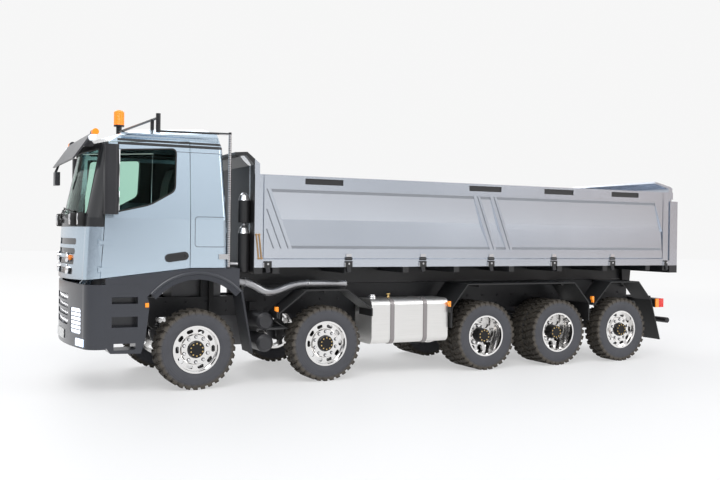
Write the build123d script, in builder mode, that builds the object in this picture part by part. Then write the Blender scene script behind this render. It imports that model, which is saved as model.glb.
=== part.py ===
from build123d import *
import os
from math import cos, pi, radians, sin, sqrt

# A model five-axle tipper truck in about 1:14.5 scale, in millimetres.
# +X points forward, +Y to the truck's left, +Z up. The origin is on the floor under the middle of the truck.

# Axles, counted from the front. The other places along the truck are given behind axle 1.
AXLE_1_X = 257.0
AXLE_2_BACK = 137.5
AXLE_3_BACK = 337.0
AXLE_4_BACK = 440.5
AXLE_5_BACK = 538.5

# Wheels
TYRE_R = 39.0
BEAD_R = 22.1
LUGS = 24
LUG_DEPTH = 2.6
LUG_SHARE = 0.62
SINGLE_W = 23.0
TWIN_W = 21.0
TWIN_GAP = 4.0
WHEEL_OUT_Y = 86.5
RIM_R = 22.0
LIP_R = 23.2
STUB_R = 3.0
SPINDLE_R = 4.0
RUN_GAP = 0.06

# Steering
KINGPIN_Y = 54.0
KINGPIN_R = 1.5
ARM_BACK = 17.0
ARM_W = 3.0
TIE_ROD_R = 1.6

# Frame
RAIL_OUT_Y = 29.0
RAIL_W = 7.0
RAIL_Z = 66.0
RAIL_H = 20.0
RAIL_T = 2.0
RAIL_FRONT = 84.0
RAIL_REAR = -600.0
SUBFRAME_TOP = 98.0
SUBFRAME_FRONT = -66.0

# Bed
BED_HALF_W = 88.0
BED_FRONT = -56.0
BED_FLOOR_TOP = 126.5
BED_FLOOR_BOTTOM = 118.5
BED_REAR = -612.0
BOARD_TOP = 211.5
BOARD_T = 5.0
BOARD_FRONT = -66.0
BOARD_REAR = -603.5
TAILGATE_FRONT = -616.0
TAILGATE_PIVOT_Z = 207.0
TAILGATE_PIVOT_BACK = -617.5
TIP_PIVOT_BACK = -594.0
TIP_PIVOT_Z = 94.0
TIP_PIN_R = 3.0

# Lift cylinder under the bed
LIFT_BACK = -295.0
LIFT_TRUNNION_Z = 62.0
LIFT_BASE_Z = 23.0
LIFT_HEAD_Z = 104.0
LIFT_HEAD_R = 4.0
LIFT_BARREL_R = 9.0
LIFT_WALL = 1.1
LIFT_GAP = 0.3
LIFT_STAGES = 4

# Cab
CAB_WALL = 3.5
CAB_BOTTOM_REAR = 118.3
CAB_PIVOT_FRONT = 104.0
CAB_PIVOT_Z = 85.0
CAB_PIVOT_R = 2.0
DOOR_REAR = 7.6
DOOR_FRONT = 91.8
DOOR_GAP = 0.6
WINDOW_GAP = 0.15

BUMPER_FRONT = 114.0
BUMPER_HALF_W = 86.5
BUMPER_BOTTOM = 43.0
BUMPER_TOP = 102.8
BUMPER_T = 3.0

FUEL_FRONT = -192.0
FUEL_REAR = -287.4
SEAT_GAP = 0.3

SIDES = (("left", 1), ("right", -1))


def at(back):
    """X of a place given ahead of axle 1 (places behind it are negative)."""
    return AXLE_1_X + back


AXLES = (  # number, x, twin wheels, steered
    (1, at(0), False, True),
    (2, at(-AXLE_2_BACK), False, True),
    (3, at(-AXLE_3_BACK), True, False),
    (4, at(-AXLE_4_BACK), True, False),
    (5, at(-AXLE_5_BACK), False, True),
)

os.makedirs("parts", exist_ok=True)


def save(piece, name):
    """Label a finished piece and write it under its own name."""
    piece.part.label = name
    export_step(piece.part, f"parts/{name}.step")


def side_plane(y, x=0.0, z=0.0):
    """A plane facing +Y, its own x along X and its own y along Z, reversed by the extrude direction."""
    return Plane(origin=(x, y, z), x_dir=(1, 0, 0), z_dir=(0, -1, 0))


def across_plane(x=0.0, z=0.0):
    """A plane facing +X, its own x along Y and its own y along Z."""
    return Plane(origin=(x, 0, z), x_dir=(0, 1, 0), z_dir=(1, 0, 0))


def tyre_outline(lugs):
    """Points of the tread: a flat on each lug and a groove between two lugs, one flat on the floor."""
    points = []
    step = 2 * pi / lugs
    half_flat = step * LUG_SHARE / 2
    for lug in range(lugs):
        middle = lug * step - pi / 2
        tip_r = TYRE_R / cos(half_flat)
        points.append((tip_r * cos(middle - half_flat), tip_r * sin(middle - half_flat)))
        points.append((tip_r * cos(middle + half_flat), tip_r * sin(middle + half_flat)))
        groove_r = TYRE_R - LUG_DEPTH
        points.append((groove_r * cos(middle + step / 2), groove_r * sin(middle + step / 2)))
    return points


# Tyres: rubber rings with block lugs. The hidden inner tyre of a twin pair is a plain ring.
BEAD_RECESS = 2.6
LIP_BELOW = 0.9
BEAD_RECESS_R = 28.0
INNER_SIDES = 30


def tyre_ring(x, y_low, width):
    """A lugged ring between two planes across the axle, with the sidewalls drawn in to the bead."""
    with BuildPart() as ring:
        with BuildSketch(side_plane(y_low, x, TYRE_R)):
            with BuildLine():
                Polyline(*tyre_outline(LUGS), close=True)
            make_face()
            RegularPolygon(BEAD_R, LUGS, major_radius=False, mode=Mode.SUBTRACT)
        extrude(amount=-width)
        for end in (0, -1):
            sidewall = ring.faces().sort_by(Axis.Y)[end]
            chamfer(sidewall.inner_wires()[0].edges(), BEAD_RECESS_R - BEAD_R, BEAD_RECESS, reference=sidewall)
    return ring.part


def plain_ring(x, y_low, width):
    """A ring with flat sides that stands on one of its flats."""
    with BuildPart() as ring:
        with BuildSketch(side_plane(y_low, x, TYRE_R)):
            RegularPolygon(TYRE_R, INNER_SIDES, major_radius=False, rotation=90 + 180 / INNER_SIDES)
            RegularPolygon(BEAD_R, LUGS, major_radius=False, mode=Mode.SUBTRACT)
        extrude(amount=-width)
    return ring.part


for number, axle_x, twin, steered in AXLES:
    for side_name, side in SIDES:
        if twin:
            outer_low = WHEEL_OUT_Y - TWIN_W
            inner_low = outer_low - TWIN_GAP - TWIN_W
            outer_ring = tyre_ring(axle_x, min(side * outer_low, side * WHEEL_OUT_Y), TWIN_W)
            inner_ring = plain_ring(axle_x, min(side * inner_low, side * (inner_low + TWIN_W)), TWIN_W)
            with BuildPart() as tyre:
                add(outer_ring)
                add(inner_ring)
        else:
            single_low = WHEEL_OUT_Y - SINGLE_W
            ring = tyre_ring(axle_x, min(side * single_low, side * WHEEL_OUT_Y), SINGLE_W)
            with BuildPart() as tyre:
                add(ring)
        save(tyre, f"tyre_{number}_{side_name}")

# Rims: turned barrels with a slotted disc and a hub. Profiles run along the axle, outwards, and up the radius.
SLOTS = 10
SLOT_R = 17.8
SLOT_LONG = 6.6
SLOT_WIDE = 3.6
HOLE_RING_R = 16.6
HOLE_R = 3.4
BOSS_R = 15.2
BOSS_TOP_R = 14.2
BOSS_H = 1.8
LIP_T = 0.9
BARREL_T = 1.2
DISC_T = 1.6
HUB_CAP_R = 7.6
SINGLE_MID_Y = WHEEL_OUT_Y - SINGLE_W / 2
RIM_HALF_W = SINGLE_W / 2 - LIP_BELOW


def single_rim(axle_x, side):
    """Rim of a single wheel: the disc stands near the outer lip, with ten long slots."""
    lip = RIM_HALF_W
    disc = lip - 4.6
    profile = (
        (-6.0, STUB_R + RUN_GAP), (-6.0, 7.0), (disc - DISC_T, 9.0), (disc - DISC_T, RIM_R - BARREL_T),
        (-lip, RIM_R - BARREL_T), (-lip, LIP_R), (-lip + LIP_T, LIP_R), (-lip + LIP_T, RIM_R),
        (lip - LIP_T, RIM_R), (lip - LIP_T, LIP_R), (lip, LIP_R), (lip, LIP_R - 1.8),
        (disc, RIM_R - BARREL_T), (disc, BOSS_R), (disc + BOSS_H, BOSS_TOP_R), (disc + BOSS_H, HUB_CAP_R + 0.8),
        (lip + 0.6, HUB_CAP_R), (lip + 0.6, 0.0), (disc, 0.0), (disc, STUB_R + RUN_GAP),
    )
    with BuildPart() as rim:
        with BuildSketch(across_plane(axle_x, TYRE_R)):
            with BuildLine():
                Polyline(*((side * (SINGLE_MID_Y + along), r) for along, r in profile), close=True)
            make_face()
        revolve(axis=Axis((axle_x, 0, TYRE_R), (0, 1, 0)))
        with BuildSketch(side_plane(side * SINGLE_MID_Y, axle_x, TYRE_R)):
            with PolarLocations(SLOT_R, SLOTS):
                SlotOverall(SLOT_LONG, SLOT_WIDE, rotation=90)
        extrude(amount=-side * (disc + 1.0), mode=Mode.SUBTRACT)
    return rim


TWIN_DISH_Y = WHEEL_OUT_Y - TWIN_W - TWIN_GAP / 2


def twin_rim(axle_x, side):
    """The two rims of a twin pair, back to back on one hub, the outer one a deep dish with round holes."""
    reach = TWIN_GAP / 2 + TWIN_W - LIP_BELOW
    profile = (
        (-14.0, SPINDLE_R + RUN_GAP), (-14.0, 9.0), (-DISC_T, 10.0), (-DISC_T, RIM_R - BARREL_T),
        (-reach, RIM_R - BARREL_T), (-reach, RIM_R), (reach - LIP_T, RIM_R), (reach - LIP_T, LIP_R),
        (reach, LIP_R), (reach, LIP_R - 1.8), (reach - 3.0, RIM_R - BARREL_T), (DISC_T, RIM_R - BARREL_T - 1.6),
        (DISC_T, 12.4), (DISC_T + 2.0, 11.2), (DISC_T + 2.0, HUB_CAP_R + 1.4), (reach - 3.6, HUB_CAP_R),
        (reach - 3.6, 0.0), (reach - 6.0, 0.0), (reach - 6.0, SPINDLE_R + RUN_GAP),
    )
    with BuildPart() as rim:
        with BuildSketch(across_plane(axle_x, TYRE_R)):
            with BuildLine():
                Polyline(*((side * (TWIN_DISH_Y + along), r) for along, r in profile), close=True)
            make_face()
        revolve(axis=Axis((axle_x, 0, TYRE_R), (0, 1, 0)))
        with BuildSketch(side_plane(side * (TWIN_DISH_Y - DISC_T - 0.5), axle_x, TYRE_R)):
            with PolarLocations(HOLE_RING_R, SLOTS):
                Circle(HOLE_R)
        extrude(amount=-side * (2 * DISC_T + 1.0), mode=Mode.SUBTRACT)
    return rim


for number, axle_x, twin, steered in AXLES:
    for side_name, side in SIDES:
        rim = twin_rim(axle_x, side) if twin else single_rim(axle_x, side)
        save(rim, f"rim_{number}_{side_name}")

# Steering knuckles: a barrel on the kingpin, a stub axle, a brake backing plate and an arm to the tie rod.
KNUCKLE_H = 15.0
KNUCKLE_R = 3.6
PLATE_R = 12.0
PLATE_OUT = 4.2
PLATE_T = 3.0
STUB_END_Y = SINGLE_MID_Y + RIM_HALF_W - 4.6 - 0.4
EYE_R = 2.6
ROD_PIN_R = 1.0

for number, axle_x, twin, steered in AXLES:
    if not steered:
        continue
    for side_name, side in SIDES:
        with BuildPart() as knuckle:
            with Locations((axle_x, side * KINGPIN_Y, TYRE_R)):
                Cylinder(KNUCKLE_R, KNUCKLE_H)
            with BuildSketch(side_plane(side * KINGPIN_Y, axle_x, TYRE_R)):
                Circle(STUB_R)
            extrude(amount=-side * (STUB_END_Y - KINGPIN_Y))
            with BuildSketch(side_plane(side * (KINGPIN_Y + PLATE_OUT), axle_x, TYRE_R)):
                Circle(PLATE_R)
            extrude(amount=-side * PLATE_T)
            with Locations((axle_x - ARM_BACK / 2, side * KINGPIN_Y, TYRE_R - KNUCKLE_H / 2 + 1.5)):
                Box(ARM_BACK, ARM_W, 3.0)
            with Locations((axle_x - ARM_BACK, side * KINGPIN_Y, TYRE_R - KNUCKLE_H / 2 + 1.5)):
                Cylinder(EYE_R, 3.0)
            with Locations((axle_x - ARM_BACK, side * KINGPIN_Y, TYRE_R - KNUCKLE_H / 2 + 5.0)):
                Cylinder(ROD_PIN_R, 7.0)
            with Locations((axle_x, side * KINGPIN_Y, TYRE_R)):
                Cylinder(KINGPIN_R + RUN_GAP, KNUCKLE_H, mode=Mode.SUBTRACT)
        save(knuckle, f"knuckle_{number}_{side_name}")

# Tie rods: one tube per steered axle between the two knuckle arms, with an eye at each end.
TIE_ROD_Z = TYRE_R - KNUCKLE_H / 2 + 5.3
for number, axle_x, twin, steered in AXLES:
    if not steered:
        continue
    with BuildPart() as tie_rod:
        with BuildSketch(side_plane(-KINGPIN_Y, axle_x - ARM_BACK, TIE_ROD_Z)):
            Circle(TIE_ROD_R)
        extrude(amount=-2 * KINGPIN_Y)
        with Locations((axle_x - ARM_BACK, KINGPIN_Y, TIE_ROD_Z), (axle_x - ARM_BACK, -KINGPIN_Y, TIE_ROD_Z)):
            Cylinder(EYE_R, 3.6)
            Cylinder(ROD_PIN_R + RUN_GAP, 3.6, mode=Mode.SUBTRACT)
    save(tie_rod, f"tie_rod_{number}")

# Axles: three forged beams with a fork and kingpin at each end, and two driven axles with a round centre.
BEAM_H = 8.0
BEAM_W = 7.0
FORK_T = 3.0
FORK_GAP = 0.25
PAD_TOP = 46.0
SPRING_Y = RAIL_OUT_Y - RAIL_W / 2
FORK_REACH = KNUCKLE_H / 2 + FORK_GAP
HOUSING_R = 6.0
CENTRE_R = 12.0
CENTRE_HALF = 7.5
NOSE_Z = 46.6
NOSE_R = 5.0
NOSE_FRONT = 16.0
NOSE_REAR = 13.0
HOUSING_END_Y = TWIN_DISH_Y - 14.0 - 0.4
SHAFT_Y = -14.0

with BuildPart() as axles:
    for number, axle_x, twin, steered in AXLES:
        if steered:
            with Locations((axle_x, 0, TYRE_R)):
                Box(BEAM_W, 2 * (KINGPIN_Y - KNUCKLE_R - 0.6), BEAM_H)
            for side_name, side in SIDES:
                web_y = KINGPIN_Y - KNUCKLE_R - 0.6 - FORK_T / 2
                with Locations((axle_x, side * web_y, TYRE_R)):
                    Box(BEAM_W - 1.0, FORK_T, 2 * (FORK_REACH + FORK_T))
                for up in (1, -1):
                    fork_z = TYRE_R + up * (FORK_REACH + FORK_T / 2)
                    with Locations((axle_x, side * (KINGPIN_Y - 2.6), fork_z)):
                        Box(BEAM_W, 2 * 2.6 + 2.0, FORK_T)
                    with Locations((axle_x, side * KINGPIN_Y, fork_z)):
                        Cylinder(BEAM_W / 2, FORK_T)
                with Locations((axle_x, side * KINGPIN_Y, TYRE_R)):
                    Cylinder(KINGPIN_R, 2 * FORK_REACH)
                with Locations((axle_x, side * SPRING_Y, (TYRE_R + PAD_TOP) / 2)):
                    Box(10.0, RAIL_W, PAD_TOP - TYRE_R)
        else:
            with BuildSketch(side_plane(-HOUSING_END_Y, axle_x, TYRE_R)):
                Circle(HOUSING_R)
            extrude(amount=-2 * HOUSING_END_Y)
            spindle_end = TWIN_DISH_Y + TWIN_GAP / 2 + TWIN_W - LIP_BELOW - 6.4
            with BuildSketch(side_plane(-spindle_end, axle_x, TYRE_R)):
                Circle(SPINDLE_R)
            extrude(amount=-2 * spindle_end)
            with BuildSketch(side_plane(SHAFT_Y - CENTRE_HALF, axle_x, TYRE_R)):
                Circle(CENTRE_R)
            extrude(amount=-2 * CENTRE_HALF)
            with BuildSketch(across_plane(axle_x - NOSE_REAR, NOSE_Z)):
                with Locations((SHAFT_Y, 0)):
                    Circle(NOSE_R)
            extrude(amount=NOSE_REAR + NOSE_FRONT)
            for side_name, side in SIDES:
                with Locations((axle_x, side * SPRING_Y, (TYRE_R + PAD_TOP + 2) / 2)):
                    Box(12.0, RAIL_W, PAD_TOP + 2 - TYRE_R)
save(axles, "axles")

# Leaf springs: a bowed pack under each rail at the steered axles, and one long pack for the driven pair.
SPRING_HALF = 34.0
SPRING_T = 3.2
HANGER = 7.0
PAIR_X = (at(-AXLE_3_BACK) + at(-AXLE_4_BACK)) / 2
PAIR_HALF = (AXLE_4_BACK - AXLE_3_BACK) / 2 + 5.0


def spring_pack(x, half, end_z, middle_z, side):
    """One bowed pack of leaves, along X, centred under a rail."""
    with BuildPart() as pack:
        with BuildSketch(side_plane(side * SPRING_Y - RAIL_W / 2)):
            with BuildLine():
                lower = ThreePointArc((x - half, end_z), (x, middle_z), (x + half, end_z))
                upper = ThreePointArc(
                    (x - half, end_z + SPRING_T), (x, middle_z + SPRING_T), (x + half, end_z + SPRING_T)
                )
                Line(lower @ 0, upper @ 0)
                Line(lower @ 1, upper @ 1)
            make_face()
        extrude(amount=-RAIL_W)
    return pack.part


packs = []
for number, axle_x, twin, steered in AXLES:
    for side_name, side in SIDES:
        if steered:
            packs.append(spring_pack(axle_x, SPRING_HALF, PAD_TOP + 12.0, PAD_TOP, side))
for side_name, side in SIDES:
    packs.append(spring_pack(PAIR_X, PAIR_HALF, PAD_TOP + 2.0, PAD_TOP + 14.0, side))
with BuildPart() as leaf_springs:
    for pack in packs:
        add(pack)
    for number, axle_x, twin, steered in AXLES:
        if not steered:
            continue
        for side_name, side in SIDES:
            for end in (1, -1):
                hanger_low = PAD_TOP + 11.5
                hanger_x = axle_x + end * (SPRING_HALF - HANGER / 2)
                with Locations((hanger_x, side * SPRING_Y, (hanger_low + RAIL_Z) / 2)):
                    Box(HANGER, RAIL_W, RAIL_Z - hanger_low)
    for side_name, side in SIDES:
        saddle_low = PAD_TOP + 14.5
        with Locations((PAIR_X, side * SPRING_Y, (saddle_low + RAIL_Z) / 2)):
            Box(26.0, RAIL_W, RAIL_Z - saddle_low)
save(leaf_springs, "leaf_springs")

# Ladder frame: two channel rails open to the middle, cross pieces, front arms to the bumper and the rear bar.
RAIL_TOP = RAIL_Z + RAIL_H
CROSS_BACKS = (74.0, 20.0, -86.0, -170.0, -250.0, -388.7, -490.0, -592.0)
CROSS_T = 6.0
TRUNNION_R = 3.0
TRUNNION_END = 21.0
ARM_SHORT = 1.7
CAB_REST_BACK = -24.0
BAR_BACK = -620.0
BAR_Z = 47.6
BAR_R = 3.5
BAR_HALF = 82.0
BAR_ARM_W = 6.0
COUPLING_BACK = -603.0
COUPLING_Z = 72.0
COUPLING_H = 8.0
COUPLING_BORE_R = 2.0

with BuildPart() as chassis_frame:
    for side_name, side in SIDES:
        with BuildSketch(across_plane(at(RAIL_REAR))):
            with Locations((side * (RAIL_OUT_Y - RAIL_W / 2), RAIL_Z + RAIL_H / 2)):
                Rectangle(RAIL_W, RAIL_H)
            with Locations((side * (RAIL_OUT_Y - RAIL_T - RAIL_W / 2), RAIL_Z + RAIL_H / 2)):
                Rectangle(RAIL_W, RAIL_H - 2 * RAIL_T, mode=Mode.SUBTRACT)
        extrude(amount=RAIL_FRONT - RAIL_REAR)
        arm_y = side * (RAIL_OUT_Y - RAIL_W / 2)
        arm_front = BUMPER_FRONT - BUMPER_T - ARM_SHORT
        with Locations((at((RAIL_FRONT - 1.0 + arm_front) / 2), arm_y, RAIL_Z + RAIL_H / 2)):
            Box(arm_front - RAIL_FRONT + 1.0, RAIL_W - RAIL_T, RAIL_H - 2 * RAIL_T)
        with Locations((at(CAB_REST_BACK), arm_y, (RAIL_TOP - 1.0 + CAB_BOTTOM_REAR - SEAT_GAP) / 2)):
            Box(8.0, RAIL_W - RAIL_T, CAB_BOTTOM_REAR - SEAT_GAP - RAIL_TOP + 1.0)
        with Locations((at(LIFT_BACK), side * (TRUNNION_END - 0.5), (RAIL_TOP + 56.0) / 2)):
            Box(12.0, 4.0, RAIL_TOP - 56.0)
        with Locations(((at(RAIL_REAR) + at(BAR_BACK)) / 2, arm_y, (BAR_Z + RAIL_Z + RAIL_H / 2) / 2)):
            Box(BAR_ARM_W + 14.0, RAIL_W - RAIL_T, RAIL_Z + RAIL_H / 2 - BAR_Z + 2.0)
    for back in CROSS_BACKS:
        with Locations((at(back), 0, RAIL_Z + RAIL_H / 2)):
            Box(CROSS_T, 2 * (RAIL_OUT_Y - RAIL_T), RAIL_H - 2 * RAIL_T)
    with BuildSketch(side_plane(-RAIL_OUT_Y, at(CAB_PIVOT_FRONT), CAB_PIVOT_Z)):
        Circle(CAB_PIVOT_R)
    extrude(amount=-2 * RAIL_OUT_Y)
    with Locations((at(COUPLING_BACK + 4.0), 0, COUPLING_Z)):
        Box(16.0, 12.0, COUPLING_H)
    with Locations((at(COUPLING_BACK), 0, COUPLING_Z)):
        Cylinder(COUPLING_BORE_R, COUPLING_H, mode=Mode.SUBTRACT)
    with BuildSketch(side_plane(-BAR_HALF, at(BAR_BACK), BAR_Z)):
        Circle(BAR_R)
    extrude(amount=-2 * BAR_HALF)
    with BuildSketch(side_plane(-RAIL_OUT_Y, at(LIFT_BACK), LIFT_TRUNNION_Z)):
        Circle(TRUNNION_R + RUN_GAP)
    extrude(amount=-2 * RAIL_OUT_Y, mode=Mode.SUBTRACT)
save(chassis_frame, "chassis_frame")

# Tipper subframe: two flat bars on the rails, joined by cross bars, with the tipping shaft at the rear.
SUB_W = 6.0
SUB_CROSS_BACKS = (-70.0, -180.0, -388.7, -480.0)

with BuildPart() as subframe:
    for side_name, side in SIDES:
        bar_x = at((SUBFRAME_FRONT + RAIL_REAR) / 2)
        with Locations((bar_x, side * (RAIL_OUT_Y - SUB_W / 2), (RAIL_TOP + SUBFRAME_TOP) / 2)):
            Box(SUBFRAME_FRONT - RAIL_REAR, SUB_W, SUBFRAME_TOP - RAIL_TOP)
    for back in SUB_CROSS_BACKS:
        with Locations((at(back), 0, RAIL_TOP + 4.0)):
            Box(6.0, 2 * RAIL_OUT_Y, 8.0)
    with BuildSketch(side_plane(-RAIL_OUT_Y - 9.0, at(TIP_PIVOT_BACK), TIP_PIVOT_Z)):
        Circle(TIP_PIN_R)
    extrude(amount=-2 * (RAIL_OUT_Y + 9.0))
save(subframe, "tipper_subframe")

# Drive line: motor and gearbox as one block between the rails, and the shafts to the driven axles.
MOTOR_LONG = 52.0
MOTOR_W = 38.0
MOTOR_LOW = 62.0
MOTOR_TOP = 104.0
MOTOR_BACK = -18.0
GEARBOX_LONG = 38.0
GEARBOX_LOW = 33.0
GEARBOX_TOP = 84.0
GEARBOX_BACK = MOTOR_BACK - MOTOR_LONG / 2 - GEARBOX_LONG / 2 + 2.0
SHAFT_R = 2.6

with BuildPart() as drive_line:
    with Locations((at(MOTOR_BACK), 0, (MOTOR_LOW + MOTOR_TOP) / 2)):
        Box(MOTOR_LONG, MOTOR_W, MOTOR_TOP - MOTOR_LOW)
    with Locations((at(GEARBOX_BACK), -2.0, (GEARBOX_LOW + GEARBOX_TOP) / 2)):
        Box(GEARBOX_LONG, MOTOR_W - 4.0, GEARBOX_TOP - GEARBOX_LOW)
    axle_3_nose = at(-AXLE_3_BACK) + NOSE_FRONT + SEAT_GAP
    axle_4_nose = at(-AXLE_4_BACK) + NOSE_FRONT + SEAT_GAP
    with BuildSketch(across_plane(axle_3_nose, NOSE_Z)):
        with Locations((SHAFT_Y, 0)):
            Circle(SHAFT_R)
    extrude(amount=at(GEARBOX_BACK) - axle_3_nose)
    with BuildSketch(across_plane(axle_4_nose, NOSE_Z)):
        with Locations((SHAFT_Y, 0)):
            Circle(SHAFT_R)
    extrude(amount=axle_3_nose - axle_4_nose - NOSE_FRONT - NOSE_REAR - 2 * SEAT_GAP)
save(drive_line, "drive_line")

# Side tanks: the strapped fuel tank on the left and the battery box on the right, each on two brackets.
FUEL_IN_Y = 42.0
FUEL_OUT_Y = 82.0
FUEL_LOW = 35.0
FUEL_TOP = 83.0
STRAP_BACKS = (-217.0, -258.0)
STRAP_W = 4.5
STRAP_T = 0.8
BOX_REAR = -262.0

with BuildPart() as side_tanks:
    for side, rear, corner in ((1, FUEL_REAR, 7.0), (-1, BOX_REAR, 2.5)):
        with BuildSketch(across_plane(at(rear))):
            with Locations((side * (FUEL_IN_Y + FUEL_OUT_Y) / 2, (FUEL_LOW + FUEL_TOP) / 2)):
                RectangleRounded(FUEL_OUT_Y - FUEL_IN_Y, FUEL_TOP - FUEL_LOW, corner)
        extrude(amount=FUEL_FRONT - rear)
        for back in STRAP_BACKS:
            with BuildSketch(across_plane(at(back) - STRAP_W / 2)):
                with Locations((side * (FUEL_IN_Y + FUEL_OUT_Y) / 2, (FUEL_LOW + FUEL_TOP) / 2)):
                    strap_w = FUEL_OUT_Y - FUEL_IN_Y + 2 * STRAP_T
                    RectangleRounded(strap_w, FUEL_TOP - FUEL_LOW + 2 * STRAP_T, corner + STRAP_T)
            extrude(amount=STRAP_W)
            with Locations((at(back), side * (RAIL_OUT_Y + FUEL_IN_Y) / 2, 76.0)):
                Box(STRAP_W, FUEL_IN_Y - RAIL_OUT_Y, 10.0)
save(side_tanks, "side_tanks")

# Exhaust pipe: a bent tube that runs from behind the cab down to the left and back over the second mudguard.
PIPE_Y = 70.0
PIPE_R = 2.5
PIPE_ROUTE = (  # places ahead of axle 1, heights
    (-38.0, 112.0),
    (-41.0, 104.0),
    (-60.0, 101.6),
    (-79.0, 88.0),
    (-108.0, 99.4),
    (-166.0, 98.8),
)
PIPE_STAY_BACK = -163.0
PIPE_STAY_Z = 96.4

with BuildPart() as exhaust_pipe:
    with BuildLine() as route:
        FilletPolyline(*((at(back), PIPE_Y, z) for back, z in PIPE_ROUTE), radius=5.0)
    with BuildSketch(Plane(origin=route.line @ 0, z_dir=route.line % 0)):
        Circle(PIPE_R)
    sweep()
    with Locations((at(PIPE_STAY_BACK), (RAIL_OUT_Y + PIPE_Y) / 2, PIPE_STAY_Z)):
        Box(6.0, PIPE_Y - RAIL_OUT_Y, 2.0)
save(exhaust_pipe, "exhaust_pipe")

# Air tanks: two round tanks across the truck on each side behind the front wheel, on a plate at the rail.
AIR_BACK = -74.0
AIR_R = 9.0
AIR_ZS = (63.0, 40.8)
AIR_IN_Y = 36.0
AIR_OUT_Y = 76.0
AIR_END = 2.5

with BuildPart() as air_tanks:
    for side_name, side in SIDES:
        for z in AIR_ZS:
            with BuildSketch(side_plane(side * AIR_IN_Y, at(AIR_BACK), z)):
                Circle(AIR_R)
            extrude(amount=-side * (AIR_OUT_Y - AIR_IN_Y))
        with Locations((at(AIR_BACK), side * (RAIL_OUT_Y + AIR_IN_Y + 2.0) / 2, 59.0)):
            Box(8.0, AIR_IN_Y + 2.0 - RAIL_OUT_Y, 42.0)
    chamfer(air_tanks.edges().filter_by(GeomType.CIRCLE).group_by(Axis.Y)[-1], AIR_END)
    chamfer(air_tanks.edges().filter_by(GeomType.CIRCLE).group_by(Axis.Y)[0], AIR_END)
save(air_tanks, "air_tanks")

# Mudguards: folded plates over the rear wheels, round arches over the front wheels, and rubber flaps.
GUARD_T = 1.4
GUARD_STAY_R = 1.8
GUARD_STAY_DROP = 0.5
# Columns: front edge, its height, top front, top rear, rear edge, its height, top height, inner y, stays.
GUARDS = (
    (-84.0, 66.0, -113.8, -160.5, -190.6, 66.0, 95.0, 57.0, (-137.5,)),
    (-289.0, 50.0, -310.5, -464.0, -486.5, 52.0, 98.5, 39.0, (-330.0, -448.0)),
    (-494.5, 70.0, -520.0, -566.0, -586.0, 76.0, 98.5, 57.0, (-543.0,)),
)
ARCH_BACK = 0.0
ARCH_Z = 54.0
ARCH_R = 61.0
ARCH_LIP = 8.0
ARCH_FRONT_DEG = 41.0
ARCH_REAR_DEG = 137.0
ARCH_IN_Y = 60.0
ARCH_LIP_T = 2.0
ARCH_STAY_BACK = -30.0
ARCH_STAY_Z = 104.8
FLAP_IN_Y = 58.0
FLAPS = (  # corners of each rubber flap, ahead of axle 1 and up
    ((-43.6, 95.5), (-45.6, 96.5), (-57.0, 33.0), (-55.4, 33.0)),
    ((-584.6, 80.0), (-586.0, 80.0), (-603.5, 24.0), (-602.0, 24.0)),
)

with BuildPart() as mudguards:
    for front, front_z, top_front, top_rear, rear, rear_z, top_z, inner_y, stays in GUARDS:
        bend_z = max(front_z, 72.0)
        rear_bend_z = max(rear_z, 74.0)
        ridge = [
            (at(front), front_z), (at(front), bend_z), (at(top_front), top_z),
            (at(top_rear), top_z), (at(rear), rear_bend_z), (at(rear), rear_z),
        ]
        ridge = [point for index, point in enumerate(ridge) if index == 0 or point != ridge[index - 1]]
        for side_name, side in SIDES:
            low_y = min(side * inner_y, side * (WHEEL_OUT_Y + 0.5))
            with BuildSketch(side_plane(low_y)):
                with BuildLine() as fold:
                    Polyline(*ridge)
                    offset(amount=GUARD_T, side=Side.LEFT)
                make_face()
            extrude(amount=-(WHEEL_OUT_Y + 0.5 - inner_y))
            for back in stays:
                stay_z = top_z - GUARD_STAY_R - GUARD_STAY_DROP
                with BuildSketch(side_plane(side * RAIL_OUT_Y, at(back), stay_z)):
                    Circle(GUARD_STAY_R)
                extrude(amount=-side * (WHEEL_OUT_Y - 4.0 - RAIL_OUT_Y))
    for side_name, side in SIDES:
        arch_and_lip = (  # inner edge, inner radius
            (ARCH_IN_Y, ARCH_R - GUARD_T),
            (WHEEL_OUT_Y - ARCH_LIP_T, ARCH_R - ARCH_LIP),
        )
        for inner_y, inner_r in arch_and_lip:
            with BuildSketch(side_plane(side * inner_y, at(ARCH_BACK), ARCH_Z)):
                with BuildLine():
                    outer = CenterArc((0, 0), ARCH_R, ARCH_FRONT_DEG, ARCH_REAR_DEG - ARCH_FRONT_DEG)
                    inner = CenterArc((0, 0), inner_r, ARCH_FRONT_DEG, ARCH_REAR_DEG - ARCH_FRONT_DEG)
                    Line(outer @ 0, inner @ 0)
                    Line(outer @ 1, inner @ 1)
                make_face()
            extrude(amount=-side * (WHEEL_OUT_Y - inner_y))
        with BuildSketch(side_plane(side * RAIL_OUT_Y, at(ARCH_STAY_BACK), ARCH_STAY_Z)):
            Rectangle(5.0, 3.0)
        extrude(amount=-side * (ARCH_IN_Y + 2.0 - RAIL_OUT_Y))
        with Locations((at(ARCH_STAY_BACK), side * (RAIL_OUT_Y + 1.5), (RAIL_Z + ARCH_STAY_Z + 1.2) / 2)):
            Box(5.0, 3.0, ARCH_STAY_Z + 1.2 - RAIL_Z)
        for corners in FLAPS:
            with BuildSketch(side_plane(min(side * FLAP_IN_Y, side * WHEEL_OUT_Y))):
                Polygon(*((at(back), z) for back, z in corners), align=None)
            extrude(amount=-(WHEEL_OUT_Y - FLAP_IN_Y))
save(mudguards, "mudguards")

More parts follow.
